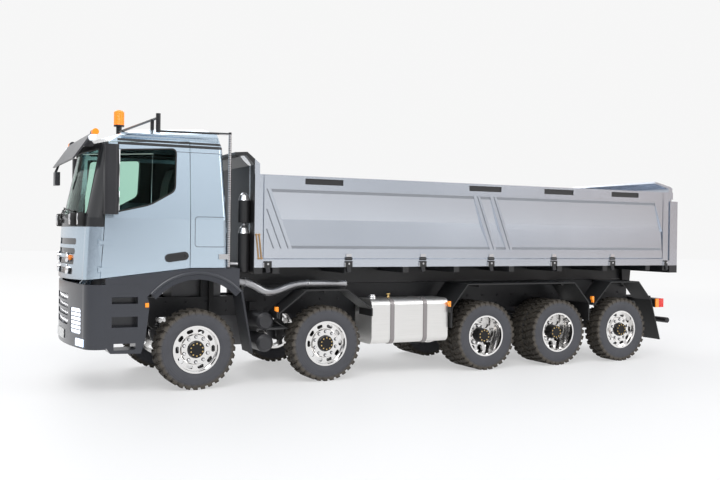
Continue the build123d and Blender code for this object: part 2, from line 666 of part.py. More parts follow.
# Bumper: a curved shell across the front with lamp openings, joined to a step box at each end.
BUMPER_REAR = 86.0
CORNER_BACK = 24.0
CORNER_IN = 14.0
FRONT_BOW = 9.0
CORNER_LEAN = 0.28
CORNER_FALL = 0.31


def nose_outline(rear, front, half_w):
    """Plan outline of the truck's nose: straight sides, round corners and a slightly bowed front."""
    side_end = front - CORNER_BACK
    bow = front - FRONT_BOW
    bow_y = half_w - CORNER_IN
    corner_x = bow - CORNER_LEAN * (CORNER_BACK - FRONT_BOW)
    corner_y = half_w - CORNER_FALL * CORNER_IN
    Line((rear, -half_w), (side_end, -half_w))
    ThreePointArc((side_end, -half_w), (corner_x, -corner_y), (bow, -bow_y))
    ThreePointArc((bow, -bow_y), (front, 0), (bow, bow_y))
    ThreePointArc((bow, bow_y), (corner_x, corner_y), (side_end, half_w))
    Line((side_end, half_w), (rear, half_w))
    Line((rear, half_w), (rear, -half_w))


STEP_REAR = 44.0
STEP_IN_Y = 62.0
STEP_LOW = 50.0
STEP_TOP = 105.0
WHEEL_SWEEP_R = 53.0
TREAD_LOW = 38.0
LAMP_IN_Y = 40.0
LAMP_OUT_Y = 68.0
LAMP_LOW = 56.0
LAMP_TOP = 80.0
GRILLE_HALF = 32.0
GRILLE_LOW = 62.0
GRILLE_TOP = 92.0
GRILLE_BARS = 3

with BuildPart() as bumper:
    with BuildSketch(Plane.XY.offset(BUMPER_BOTTOM)):
        with BuildLine():
            nose_outline(at(BUMPER_REAR), at(BUMPER_FRONT), BUMPER_HALF_W)
        make_face()
    extrude(amount=BUMPER_TOP - BUMPER_BOTTOM)
    with BuildSketch(Plane.XY.offset(BUMPER_BOTTOM - 1.0)):
        with BuildLine():
            nose_outline(at(BUMPER_REAR - 5.0), at(BUMPER_FRONT - BUMPER_T), BUMPER_HALF_W - BUMPER_T)
        make_face()
    extrude(amount=BUMPER_TOP - BUMPER_BOTTOM + 2.0, mode=Mode.SUBTRACT)
    for side_name, side in SIDES:
        with BuildSketch(across_plane(at(BUMPER_FRONT - 30.0))):
            with Locations((side * (LAMP_IN_Y + LAMP_OUT_Y) / 2, (LAMP_LOW + LAMP_TOP) / 2)):
                RectangleRounded(LAMP_OUT_Y - LAMP_IN_Y, LAMP_TOP - LAMP_LOW, 3.0)
        extrude(amount=40.0, mode=Mode.SUBTRACT)
    with BuildSketch(across_plane(at(BUMPER_FRONT - 20.0))):
        with Locations((0, (GRILLE_LOW + GRILLE_TOP) / 2)):
            RectangleRounded(2 * GRILLE_HALF, GRILLE_TOP - GRILLE_LOW, 3.0)
        with Locations((0, (GRILLE_LOW + GRILLE_TOP) / 2)):
            with GridLocations(0, (GRILLE_TOP - GRILLE_LOW) / (GRILLE_BARS + 1), 1, GRILLE_BARS):
                Rectangle(2 * GRILLE_HALF + 2.0, 2.4, mode=Mode.SUBTRACT)
    extrude(amount=30.0, mode=Mode.SUBTRACT)
    for side_name, side in SIDES:
        low_y = min(side * STEP_IN_Y, side * BUMPER_HALF_W)
        with BuildSketch(side_plane(low_y)):
            with BuildLine():
                Polyline(
                    (at(BUMPER_REAR + 1.0), STEP_TOP - 1.0), (at(STEP_REAR + 8.0), STEP_TOP - 3.0),
                    (at(STEP_REAR + 2.0), STEP_LOW + 34.0), (at(STEP_REAR + 6.0), STEP_LOW),
                    (at(STEP_REAR + 10.0), TREAD_LOW), (at(BUMPER_REAR - 4.0), TREAD_LOW + 1.0),
                    (at(BUMPER_REAR + 1.0), STEP_LOW - 4.0), close=True,
                )
            make_face()
            with Locations((at((STEP_REAR + BUMPER_REAR) / 2 + 4.0), STEP_LOW - 5.0)):
                Rectangle(20.0, 6.0, mode=Mode.SUBTRACT)
        extrude(amount=-(BUMPER_HALF_W - STEP_IN_Y))
        for tread_z in (62.0, 84.0):
            tread_x = at((STEP_REAR + BUMPER_REAR) / 2 + 4.0)
            with Locations((tread_x, side * (BUMPER_HALF_W - 6.0), tread_z + 6.0)):
                Box(24.0, 14.0, 10.0, mode=Mode.SUBTRACT)
        with Locations((at(0), side * KINGPIN_Y, 70.0)):
            Cylinder(WHEEL_SWEEP_R, 80.0, mode=Mode.SUBTRACT)
save(bumper, "bumper_steps")

# Lamps on the chassis: head lamps behind the bumper openings, markers on the steps and guards, and tail lamps.
MARKERS = (  # front edge of the guard that carries it, bottom of its foot, bottom of its lamp
    (-84.0, 67.0, 74.3),
    (-289.0, 67.0, 75.6),
    (-494.5, 70.4, 77.0),
)
STEP_MARKER_BACK = 48.8
STEP_MARKER_Z = 83.5
MARKER_LONG = 3.2
MARKER_W = 3.4
MARKER_H = 4.0
MARKER_FOOT = 1.6
TAIL_BACK = -605.5
TAIL_Z = 70.2
TAIL_LONG = 13.0
TAIL_W = 34.0
TAIL_H = 11.0
TAIL_OUT_Y = 83.0
TAIL_STAY = 24.0

with BuildPart() as lamps:
    with BuildSketch(Plane.XY.offset(LAMP_LOW + 0.3)):
        with BuildLine():
            nose_outline(at(BUMPER_REAR), at(BUMPER_FRONT - 0.8), BUMPER_HALF_W - 0.8)
        make_face()
        with BuildLine():
            nose_outline(at(BUMPER_REAR - 4.0), at(BUMPER_FRONT - 3.0), BUMPER_HALF_W - 3.0)
        make_face(mode=Mode.SUBTRACT)
    extrude(amount=LAMP_TOP - LAMP_LOW - 0.6)
    with BuildSketch(across_plane(at(BUMPER_FRONT - 30.0))):
        for side_name, side in SIDES:
            with Locations((side * (LAMP_IN_Y + LAMP_OUT_Y) / 2, (LAMP_LOW + LAMP_TOP) / 2)):
                RectangleRounded(LAMP_OUT_Y - LAMP_IN_Y - 0.6, LAMP_TOP - LAMP_LOW - 0.6, 2.7)
    extrude(amount=40.0, mode=Mode.INTERSECT)
    for side_name, side in SIDES:
        for back, foot_low, lamp_low in MARKERS:
            marker_y = side * (WHEEL_OUT_Y - MARKER_W / 2)
            with Locations((at(back) + SEAT_GAP + MARKER_FOOT / 2, marker_y, (foot_low + lamp_low + 1.0) / 2)):
                Box(MARKER_FOOT, MARKER_W, lamp_low + 1.0 - foot_low)
            with Locations((at(back) + SEAT_GAP + MARKER_LONG / 2, marker_y, lamp_low + MARKER_H / 2)):
                Box(MARKER_LONG, MARKER_W, MARKER_H)
        step_y = side * (BUMPER_HALF_W + SEAT_GAP + MARKER_FOOT / 2)
        with Locations((at(STEP_MARKER_BACK), step_y, STEP_MARKER_Z)):
            Box(MARKER_LONG, MARKER_FOOT, MARKER_H)
        with Locations((at(TAIL_BACK), side * (TAIL_OUT_Y - TAIL_W / 2), TAIL_Z)):
            Box(TAIL_LONG, TAIL_W, TAIL_H)
        with Locations((at(TAIL_BACK + 1.0), side * (RAIL_OUT_Y + TAIL_STAY / 2 - 0.7), TAIL_Z + 2.0)):
            Box(3.0, TAIL_STAY, 5.0)
save(lamps, "chassis_lamps")

# Cab hull: a stack of plan sections, each bowed at the front with round corners, narrowing to the roof.
# Columns: height, rear, front, half width, corner length, corner width, roof tilt in degrees.
CAB_SECTIONS = (
    (100.0, -31.5, 115.0, 85.0, 23.0, 14.0, 0.0),
    (165.0, -30.0, 112.0, 85.0, 22.0, 14.0, 0.0),
    (236.0, -26.0, 97.0, 79.5, 13.0, 11.0, 0.0),
    (246.5, -22.5, 86.0, 74.0, 13.0, 11.0, 4.0),
    (252.0, -13.0, 68.0, 62.0, 13.0, 11.0, 4.0),
)
CAB_TILT_BACK = 30.0
REAR_CORNER = 5.0


def cab_hull(inset):
    """The cab's outer form, drawn in all round by an inset."""
    with BuildPart() as hull:
        for z, rear, front, half_w, corner_long, corner_wide, tilt in CAB_SECTIONS:
            turn = radians(tilt)
            drop = inset if tilt else 0.0
            plane = Plane(
                origin=(at(CAB_TILT_BACK), 0, z - drop),
                x_dir=(cos(turn), 0, -sin(turn)),
                z_dir=(sin(turn), 0, cos(turn)),
            )
            back = rear + inset - CAB_TILT_BACK
            nose = front - inset - CAB_TILT_BACK
            half = half_w - inset
            side_end = nose - corner_long
            bow = nose - FRONT_BOW
            bow_y = half - corner_wide
            corner_x = bow - CORNER_LEAN * (corner_long - FRONT_BOW)
            corner_y = half - CORNER_FALL * corner_wide
            chord = REAR_CORNER * (1 - sqrt(0.5))
            with BuildSketch(plane):
                with BuildLine():
                    Line((back + REAR_CORNER, -half), (side_end, -half))
                    ThreePointArc((side_end, -half), (corner_x, -corner_y), (bow, -bow_y))
                    ThreePointArc((bow, -bow_y), (nose, 0), (bow, bow_y))
                    ThreePointArc((bow, bow_y), (corner_x, corner_y), (side_end, half))
                    Line((side_end, half), (back + REAR_CORNER, half))
                    ThreePointArc(
                        (back + REAR_CORNER, half), (back + chord, half - chord), (back, half - REAR_CORNER)
                    )
                    Line((back, half - REAR_CORNER), (back, -half + REAR_CORNER))
                    ThreePointArc(
                        (back, -half + REAR_CORNER), (back + chord, -half + chord), (back + REAR_CORNER, -half)
                    )
                make_face()
        loft(ruled=True)
        with BuildSketch(side_plane(-100.0)):
            low = CAB_BOTTOM_REAR + inset
            Polygon(
                (at(-60.0), 80.0), (at(-60.0), low), (at(7.0), low), (at(125.0), low - 13.2), (at(125.0), 80.0),
                align=None,
            )
        extrude(amount=-200.0, mode=Mode.SUBTRACT)
    return hull.part


DOOR_OUTLINE = (  # place ahead of axle 1, height
    (DOOR_REAR, 100.0), (DOOR_FRONT, 100.0), (88.4, 149.0), (84.2, 235.5), (DOOR_REAR, 240.0),
)
WINDOW_OUTLINE = (
    (82.0, 169.5), (75.0, 229.0), (20.6, 232.5), (22.0, 192.0), (46.0, 178.0),
)
SCREEN_OUTLINE = (  # y, height
    (-72.0, 168.0), (72.0, 168.0), (66.0, 230.0), (-66.0, 230.0),
)
CAB_LUG_Y = 14.0
CAB_LUG_T = 4.0
CAB_LUG_R = 3.6
CAB_LUG_H = 27.0
CAB_LUG_BACK = 20.0
GLASS_OUT = 1.2
GLASS_IN = 2.2
DOOR_HINGE_BACK = 92.4
DOOR_HINGE_Y = 85.2
DOOR_HINGE_R = 1.3
DOOR_HINGE_H = 5.0
DOOR_HINGE_ZS = (117.0, 142.0)
DOOR_STRAP = 7.0

outer_hull = cab_hull(0.0)
inner_hull = cab_hull(CAB_WALL)
glass_outer = cab_hull(GLASS_OUT)
glass_inner = cab_hull(GLASS_IN)


SILL_TOP = 124.0
SILL_Y = 81.5 - 0.1


def side_prism(outline, grow, corner):
    """A prism through the left side wall of the cab above the floor, its outline grown by a gap and rounded."""
    with BuildPart() as prism:
        with BuildSketch(side_plane(55.0)) as face:
            with BuildLine():
                Polyline(*((at(back), z) for back, z in outline), close=True)
            make_face()
            if corner:
                fillet(face.vertices(), corner)
            if grow:
                offset(amount=grow, kind=Kind.INTERSECTION)
        extrude(amount=-50.0)
        with Locations((at(50.0), 50.0, SILL_TOP - 20.0)):
            Box(200.0, 2 * (SILL_Y - 50.0), 40.0, mode=Mode.SUBTRACT)
    return prism.part


def screen_prism(grow):
    """A prism through the front wall, with the windscreen's outline grown by a gap."""
    with BuildPart() as prism:
        with BuildSketch(across_plane(at(60.0))) as face:
            with BuildLine():
                Polyline(*SCREEN_OUTLINE, close=True)
            make_face()
            fillet(face.vertices(), 5.0)
            if grow:
                offset(amount=grow)
        extrude(amount=70.0)
    return prism.part


# Grille: shallow slots across the cab's nose, with the bars between them left standing.
NOSE_SLOTS = (  # height of the slot's middle, half width
    (114.0, 46.0),
    (123.5, 48.0),
    (133.0, 50.0),
    (142.5, 52.0),
)
NOSE_SLOT_H = 6.0
NOSE_SLOT_DEEP = 1.6
slot_floor = cab_hull(NOSE_SLOT_DEEP)
with BuildPart() as nose_slots:
    with BuildSketch(across_plane(at(60.0))):
        for z, half in NOSE_SLOTS:
            with Locations((0, z)):
                SlotOverall(2 * half, NOSE_SLOT_H)
    extrude(amount=70.0)
    add(slot_floor, mode=Mode.SUBTRACT)

# Drip rails: two thin ledges along each side of the roof, over the door. Handle: a grip moulded on each door.
DRIP_FRONT = 72.0
DRIP_REAR = -22.0
DRIP_IN_Y = 73.0
DRIP_RAILS = (  # bottom, top, outer y
    (241.6, 243.4, 77.6),
    (244.4, 246.0, 76.2),
)
HANDLE_BACK = 20.5
HANDLE_Z = 128.8
HANDLE_LONG = 23.0
HANDLE_H = 8.0
HANDLE_TILT = -8.0
HANDLE_IN_Y = 84.4
HANDLE_OUT_Y = 86.4
GRIP_LONG = 17.0
GRIP_H = 3.2
GRIP_DEEP = 1.0

door_space = side_prism(DOOR_OUTLINE, DOOR_GAP, 0.0)
door_block = side_prism(DOOR_OUTLINE, 0.0, 0.0)
window_space = side_prism(WINDOW_OUTLINE, 0.0, 4.0)
window_block = side_prism(WINDOW_OUTLINE, -WINDOW_GAP, 4.0)
screen_space = screen_prism(0.0)
screen_block = screen_prism(-WINDOW_GAP)

with BuildPart() as cab_shell:
    add(outer_hull)
    add(inner_hull, mode=Mode.SUBTRACT)
    add(door_space, mode=Mode.SUBTRACT)
    mirror(door_space, about=Plane.XZ, mode=Mode.SUBTRACT)
    add(screen_space, mode=Mode.SUBTRACT)
    for side_name, side in SIDES:
        with Locations(*((at(DOOR_HINGE_BACK), side * DOOR_HINGE_Y, z) for z in DOOR_HINGE_ZS)):
            Cylinder(DOOR_HINGE_R + 0.35, DOOR_HINGE_H + 0.8, mode=Mode.SUBTRACT)
    add(nose_slots.part, mode=Mode.SUBTRACT)
    for side_name, side in SIDES:
        for low, top, outer_y in DRIP_RAILS:
            drip_y = side * (DRIP_IN_Y + outer_y) / 2
            with Locations((at((DRIP_FRONT + DRIP_REAR) / 2), drip_y, (low + top) / 2)):
                Box(DRIP_FRONT - DRIP_REAR, outer_y - DRIP_IN_Y, top - low)
        with BuildSketch(side_plane(side * CAB_LUG_Y - CAB_LUG_T / 2, at(CAB_PIVOT_FRONT), CAB_PIVOT_Z)):
            Circle(CAB_LUG_R)
            Polygon(
                (0.6, 2.0), (0.4 - CAB_LUG_R, -1.0), (-CAB_LUG_BACK - 4.0, CAB_LUG_H),
                (-CAB_LUG_BACK, CAB_LUG_H), align=None,
            )
            Circle(CAB_PIVOT_R + RUN_GAP, mode=Mode.SUBTRACT)
        extrude(amount=-CAB_LUG_T)
save(cab_shell, "cab_shell")

with BuildPart() as windscreen:
    add(glass_outer)
    add(glass_inner, mode=Mode.SUBTRACT)
    add(screen_block, mode=Mode.INTERSECT)
save(windscreen, "windscreen")

with BuildPart() as door_left:
    add(outer_hull)
    add(inner_hull, mode=Mode.SUBTRACT)
    add(door_block, mode=Mode.INTERSECT)
    add(window_space, mode=Mode.SUBTRACT)
    for z in DOOR_HINGE_ZS:
        with Locations((at(DOOR_HINGE_BACK), DOOR_HINGE_Y, z)):
            Cylinder(DOOR_HINGE_R, DOOR_HINGE_H)
        with Locations((at(DOOR_HINGE_BACK - DOOR_STRAP / 2), DOOR_HINGE_Y + 0.7, z)):
            Box(DOOR_STRAP, 1.1, DOOR_HINGE_H - 1.6)
        with Locations((at(DOOR_HINGE_BACK - DOOR_STRAP - 1.0), DOOR_HINGE_Y + 0.2, z)):
            Box(6.0, 2.1, DOOR_HINGE_H - 1.6)
    with BuildSketch(side_plane(HANDLE_IN_Y, at(HANDLE_BACK), HANDLE_Z)):
        SlotOverall(HANDLE_LONG, HANDLE_H, rotation=HANDLE_TILT)
    extrude(amount=HANDLE_IN_Y - HANDLE_OUT_Y)
    with BuildSketch(side_plane(HANDLE_OUT_Y - GRIP_DEEP, at(HANDLE_BACK), HANDLE_Z)):
        SlotOverall(GRIP_LONG, GRIP_H, rotation=HANDLE_TILT)
    extrude(amount=-2.0, mode=Mode.SUBTRACT)
save(door_left, "door_left")

with BuildPart() as door_right:
    mirror(door_left.part, about=Plane.XZ)
save(door_right, "door_right")

with BuildPart() as door_glass_left:
    add(glass_outer)
    add(glass_inner, mode=Mode.SUBTRACT)
    add(window_block, mode=Mode.INTERSECT)
save(door_glass_left, "door_glass_left")

with BuildPart() as door_glass_right:
    mirror(door_glass_left.part, about=Plane.XZ)
save(door_glass_right, "door_glass_right")

# Mirrors: a tall housing on two arms from the door's front edge.
MIRROR_FRONT = 91.0
MIRROR_REAR = 78.0
MIRROR_IN_Y = 89.0
MIRROR_OUT_Y = 101.0
MIRROR_LOW = 168.0
MIRROR_TOP = 232.0
MIRROR_ARMS = (  # place ahead of axle 1, height, y of the door skin there
    (80.0, 226.5, 80.4),
    (83.5, 170.0, 84.7),
)

with BuildPart() as mirror_left:
    with BuildSketch(Plane.XY.offset(MIRROR_LOW)):
        with Locations((at((MIRROR_FRONT + MIRROR_REAR) / 2), (MIRROR_IN_Y + MIRROR_OUT_Y) / 2)):
            RectangleRounded(MIRROR_FRONT - MIRROR_REAR, MIRROR_OUT_Y - MIRROR_IN_Y, 4.0)
    extrude(amount=MIRROR_TOP - MIRROR_LOW)
    for back, z, skin_y in MIRROR_ARMS:
        with BuildSketch(side_plane(skin_y + SEAT_GAP, at(back), z)):
            SlotOverall(7.0, 3.4)
        extrude(amount=-(MIRROR_IN_Y + 2.0 - skin_y - SEAT_GAP))
save(mirror_left, "mirror_left")

with BuildPart() as mirror_right:
    mirror(mirror_left.part, about=Plane.XZ)
save(mirror_right, "mirror_right")

# Sun visor: a sloping blade over the windscreen on two stays, with its lamps and the kerb mirror's arm.
VISOR_HALF = 70.0
VISOR_BLADE = ((97.0, 243.0), (113.6, 219.0), (115.0, 219.8), (98.4, 244.2))
VISOR_STAY = ((93.45, 233.0), (92.75, 236.0), (98.4, 243.0), (104.0, 233.4))
VISOR_STAY_Y = 50.0
VISOR_STAY_T = 2.0
VISOR_LAMPS = (  # place ahead of axle 1 and height: amber on top, white under it
    (95.6, 244.8),
    (98.2, 239.6),
)
VISOR_LAMP_R = 3.0
VISOR_LAMP_IN_Y = 64.0
VISOR_LAMP_W = 13.0
KERB_ARM = ((107.0, 229.0), (110.0, 225.5), (115.0, 214.0), (113.0, 212.0))
KERB_ARM_Y = -58.0
KERB_ARM_T = 2.4

with BuildPart() as sun_visor:
    with BuildSketch(side_plane(-VISOR_HALF)):
        Polygon(*((at(back), z) for back, z in VISOR_BLADE), align=None)
    extrude(amount=-2 * VISOR_HALF)
    for side_name, side in SIDES:
        with BuildSketch(side_plane(side * VISOR_STAY_Y - VISOR_STAY_T / 2)):
            Polygon(*((at(back), z) for back, z in VISOR_STAY), align=None)
        extrude(amount=-VISOR_STAY_T)
        for back, z in VISOR_LAMPS:
            with BuildSketch(side_plane(side * VISOR_LAMP_IN_Y, at(back), z)):
                Circle(VISOR_LAMP_R)
            extrude(amount=-side * VISOR_LAMP_W)
    with BuildSketch(side_plane(KERB_ARM_Y)):
        Polygon(*((at(back), z) for back, z in KERB_ARM), align=None)
    extrude(amount=-KERB_ARM_T)
    with Locations((at(112.4), KERB_ARM_Y + 1.0, 207.0)):
        Box(5.0, 14.0, 14.0)
save(sun_visor, "sun_visor")

# Cab interior: two seats on the floor, the dash under the windscreen and the steering wheel.
SEAT_Y = 38.0
SEAT_W = 34.0
DASH_HALF = 65.0
DASH_OUTLINE = ((74.0, 150.0), (72.0, 166.0), (84.0, 168.0), (95.0, 163.0), (95.0, 150.0))
FLOOR_Z = CAB_BOTTOM_REAR + CAB_WALL + 0.1
SEAT_OUTLINE = (  # place ahead of axle 1, height
    (46.0, FLOOR_Z - 4.3), (46.0, 150.0), (43.0, 156.0), (10.0, 152.0), (2.0, 206.0), (-3.0, 220.0),
    (-9.0, 220.0), (-9.0, 206.0), (0.0, 146.0), (2.0, FLOOR_Z), (7.0, FLOOR_Z),
)
STEERING_BACK = 66.0
STEERING_Z = 166.0
STEERING_R = 15.0
COLUMN_LEAN = (0.55, 0, -0.835)

with BuildPart() as interior:
    for side_name, side in SIDES:
        with BuildSketch(side_plane(side * SEAT_Y - SEAT_W / 2)):
            Polygon(*((at(back), z) for back, z in SEAT_OUTLINE), align=None)
        extrude(amount=-SEAT_W)
    with BuildSketch(side_plane(-DASH_HALF)):
        Polygon(*((at(back), z) for back, z in DASH_OUTLINE), align=None)
    extrude(amount=-2 * DASH_HALF)
    with BuildSketch(Plane(origin=(at(STEERING_BACK), SEAT_Y, STEERING_Z), x_dir=(0, 1, 0), z_dir=COLUMN_LEAN)):
        Circle(STEERING_R)
        Circle(STEERING_R - 2.4, mode=Mode.SUBTRACT)
        Rectangle(2 * STEERING_R - 4.0, 3.0)
    extrude(amount=-2.0)
    with BuildSketch(Plane(origin=(at(STEERING_BACK), SEAT_Y, STEERING_Z), x_dir=(0, 1, 0), z_dir=COLUMN_LEAN)):
        Circle(2.4)
    extrude(amount=16.0)
    with Locations((at(74.0), SEAT_Y, 154.0)):
        Box(10.0, 8.0, 10.0)
    with Locations((at(86.0), 0, (FLOOR_Z + 152.0) / 2 - 4.0)):
        Box(12.0, 30.0, 152.0 - FLOOR_Z + 8.0)
save(interior, "cab_interior")

# Roof bar: a slanted cross tube on two feet with a beacon on its right end. On the left a rod runs back
# from the bar's post along the roof's edge and turns down the cab's rear corner.
BAR_TUBE_R = 1.3
ROOF_BAR_Z = 262.0
POST_END = (37.3, 75.0)
BEACON_END = (45.7, -72.0)
POST_R = 2.2
POST_LOW = 247.6
POST_TOP = 266.0
ROOF_FOOT_Y = 55.0
ROOF_TOP = 252.0
ROOF_FALL = 0.07
FOOT_W = 3.0
BEACON_R = 5.6
BEACON_FOOT_R = 3.0
BEACON_LOW = 268.0
BEACON_TOP = 286.0
BEACON_EDGE = 2.0
CORNER_PIPE = (-31.2, 85.0)
CORNER_LOW = 119.0
CORNER_TOP = 251.0
CORNER_R = 1.5
ROOF_ROD_R = 1.1
CLIP_FRONT = -21.0
CLIP_T = 1.0
CLIP_H = 5.0
CLIP_Z = 129.0
CAB_SIDE_Y = 85.0


def tube(start, end, radius):
    """A round bar between two places given ahead of axle 1, across and up."""
    first = Vector(at(start[0]), start[1], start[2])
    along = Vector(at(end[0]), end[1], end[2]) - first
    with BuildPart() as bar:
        with BuildSketch(Plane(origin=first, z_dir=along)):
            Circle(radius)
        extrude(amount=along.length)
    return bar.part


bar_rods = (
    tube((*POST_END, ROOF_BAR_Z), (*BEACON_END, ROOF_BAR_Z), BAR_TUBE_R),
    tube((*POST_END, POST_LOW), (*POST_END, POST_TOP), POST_R),
    tube((*POST_END, POST_LOW + CORNER_R), (*CORNER_PIPE, CORNER_TOP - CORNER_R), ROOF_ROD_R),
    tube((*CORNER_PIPE, CORNER_LOW), (*CORNER_PIPE, CORNER_TOP), CORNER_R),
    tube((*BEACON_END, ROOF_BAR_Z - 2.0), (*BEACON_END, BEACON_LOW + 1.0), BEACON_FOOT_R),
)
with BuildPart() as roof_bar:
    for rod in bar_rods:
        add(rod)
    for side_name, side in SIDES:
        reach = (POST_END[1] - side * ROOF_FOOT_Y) / (POST_END[1] - BEACON_END[1])
        foot_back = POST_END[0] + reach * (BEACON_END[0] - POST_END[0])
        foot_low = ROOF_TOP - ROOF_FALL * (foot_back - FOOT_W / 2 - CAB_TILT_BACK) + 0.1
        foot_top = ROOF_BAR_Z + BAR_TUBE_R / 2
        with Locations((at(foot_back), side * ROOF_FOOT_Y, (foot_low + foot_top) / 2)):
            Box(FOOT_W, FOOT_W, foot_top - foot_low)
    with Locations((at((CORNER_PIPE[0] + CLIP_FRONT) / 2), CAB_SIDE_Y + SEAT_GAP + CLIP_T / 2, CLIP_Z)):
        Box(CLIP_FRONT - CORNER_PIPE[0], CLIP_T, CLIP_H)
    with Locations((at(BEACON_END[0]), BEACON_END[1], (BEACON_LOW + BEACON_TOP) / 2)):
        Cylinder(BEACON_R, BEACON_TOP - BEACON_LOW)
    chamfer(roof_bar.edges().group_by(Axis.Z)[-1], BEACON_EDGE)
save(roof_bar, "roof_bar")

# Bed: floor with edge rails, cross beams and two long beams, headboard with a hood, and four corner posts.
FLOOR_T = 3.0
EDGE_W = 10.0
BED_BEAM_W = 8.0
BED_BEAM_LOW = SUBFRAME_TOP + 0.4
BED_BEAM_TOP = 112.0
BED_BEAM_REAR = TIP_PIVOT_BACK + 5.0
BED_CROSS_BACKS = (-80.0, -160.0, -230.0, -295.0, -370.0, -440.0, -510.0, -580.0)
HEAD_T = 6.0
POST_W = 9.0
LUG_Y = 32.5
LUG_T = 4.0
PIVOT_R = 2.0
HEAD_OUTLINE = (  # side view of the headboard and its hood: place ahead of axle 1, height
    (BED_FRONT - HEAD_T, BED_BEAM_TOP), (BED_FRONT, BED_BEAM_TOP), (BED_FRONT, 220.5), (-47.6, 229.6),
    (-36.0, 229.4), (-36.0, 232.0), (-48.6, 233.0), (BED_FRONT - HEAD_T, 222.0),
)
BOTTLE_BACK = -50.2
BOTTLE_Y = 74.0
BOTTLE_R = 6.0
BOTTLE_PROFILE = (  # radius, height: two bottles one over the other, each with a domed top
    (0.0, 114.0), (BOTTLE_R, 114.0), (BOTTLE_R, 152.0), (4.4, 157.5), (2.2, 160.0), (2.2, 163.0),
    (BOTTLE_R, 163.0), (BOTTLE_R, 185.0), (4.4, 190.5), (2.2, 193.0), (0.0, 193.0),
)
HINGE_STEP = 89.9
HINGE_BACKS = [-70.6 - HINGE_STEP * step for step in range(7)]
HINGE_LONG = 8.0
HINGE_R = 1.6
HINGE_Z = 127.0

with BuildPart() as bed_body:
    with Locations((at((BED_FRONT + BED_REAR) / 2), 0, BED_FLOOR_TOP - FLOOR_T / 2)):
        Box(BED_FRONT - BED_REAR, 2 * BED_HALF_W, FLOOR_T)
    for side_name, side in SIDES:
        edge_y = side * (BED_HALF_W - EDGE_W / 2)
        with Locations((at((BED_FRONT + BED_REAR) / 2), edge_y, (BED_FLOOR_BOTTOM + BED_FLOOR_TOP) / 2)):
            Box(BED_FRONT - BED_REAR, EDGE_W, BED_FLOOR_TOP - BED_FLOOR_BOTTOM)
        beam_y = side * (RAIL_OUT_Y - SUB_W / 2 - 1.0)
        with Locations((at((BED_FRONT + BED_BEAM_REAR) / 2), beam_y, (BED_BEAM_LOW + BED_FLOOR_TOP - 1.0) / 2)):
            Box(BED_FRONT - BED_BEAM_REAR, BED_BEAM_W, BED_FLOOR_TOP - 1.0 - BED_BEAM_LOW)
        with BuildSketch(side_plane(side * LUG_Y - LUG_T / 2)):
            with BuildLine():
                Polyline(
                    (at(TIP_PIVOT_BACK + 9.0), BED_FLOOR_BOTTOM + 6.0), (at(TIP_PIVOT_BACK + 6.0), TIP_PIVOT_Z),
                )
                ThreePointArc(
                    (at(TIP_PIVOT_BACK + 6.0), TIP_PIVOT_Z), (at(TIP_PIVOT_BACK), TIP_PIVOT_Z - 6.0),
                    (at(TIP_PIVOT_BACK - 6.0), TIP_PIVOT_Z),
                )
                Polyline(
                    (at(TIP_PIVOT_BACK - 6.0), TIP_PIVOT_Z), (at(TIP_PIVOT_BACK - 9.0), BED_FLOOR_BOTTOM + 6.0),
                    (at(TIP_PIVOT_BACK + 9.0), BED_FLOOR_BOTTOM + 6.0),
                )
            make_face()
            with Locations((at(TIP_PIVOT_BACK), TIP_PIVOT_Z)):
                Circle(TIP_PIN_R + RUN_GAP, mode=Mode.SUBTRACT)
        extrude(amount=-LUG_T)
        post_y = side * (BED_HALF_W - BOARD_T / 2 - 0.5)
        posts = (  # middle, top
            (BED_FRONT - POST_W / 2 - 0.4, BOARD_TOP),
            (BOARD_REAR - POST_W / 2 - 0.6, BOARD_TOP - 1.0),
        )
        for back, post_top in posts:
            with Locations((at(back), post_y, (BED_BEAM_TOP + post_top) / 2)):
                Box(POST_W, BOARD_T + 1.0, post_top - BED_BEAM_TOP)
        with Locations((at(BOARD_REAR - 8.6), post_y, TAILGATE_PIVOT_Z)):
            Box(17.0, BOARD_T + 1.0, 9.0)
        with BuildSketch(side_plane(side * BED_HALF_W, at(TAILGATE_PIVOT_BACK), TAILGATE_PIVOT_Z)):
            Circle(PIVOT_R)
        extrude(amount=side * 13.0)
        for back in HINGE_BACKS:
            with Locations((at(back), side * (BED_HALF_W + 0.6), BED_FLOOR_BOTTOM + 3.0)):
                Box(HINGE_LONG, 2.4, 6.4)
        for back in HINGE_BACKS[1:-1]:
            barrel_end = (at(back) - HINGE_LONG / 2, side * BED_HALF_W, HINGE_Z)
            with BuildSketch(Plane(origin=barrel_end, z_dir=(1, 0, 0))):
                Circle(HINGE_R)
            extrude(amount=HINGE_LONG)
    for back in BED_CROSS_BACKS:
        with Locations((at(back), 0, (BED_BEAM_TOP + BED_FLOOR_TOP - 1.0) / 2)):
            Box(7.0, 2 * (BED_HALF_W - 1.0), BED_FLOOR_TOP - 1.0 - BED_BEAM_TOP)
    with Locations((at(LIFT_BACK), 0, (LIFT_HEAD_Z + LIFT_HEAD_R + 0.4 + BED_BEAM_TOP + 2.0) / 2)):
        Box(18.0, 50.0, BED_BEAM_TOP + 2.0 - LIFT_HEAD_Z - LIFT_HEAD_R - 0.4)
    with BuildSketch(side_plane(-BED_HALF_W + 1.0)):
        Polygon(*((at(back), z) for back, z in HEAD_OUTLINE), align=None)
    extrude(amount=-2 * (BED_HALF_W - 1.0))
    with BuildSketch(Plane(origin=(at(BOTTLE_BACK), BOTTLE_Y, 0), x_dir=(0, 1, 0), z_dir=(1, 0, 0))):
        Polygon(*BOTTLE_PROFILE, align=None)
    revolve(axis=Axis((at(BOTTLE_BACK), BOTTLE_Y, 0), (0, 0, 1)))
save(bed_body, "bed_body")

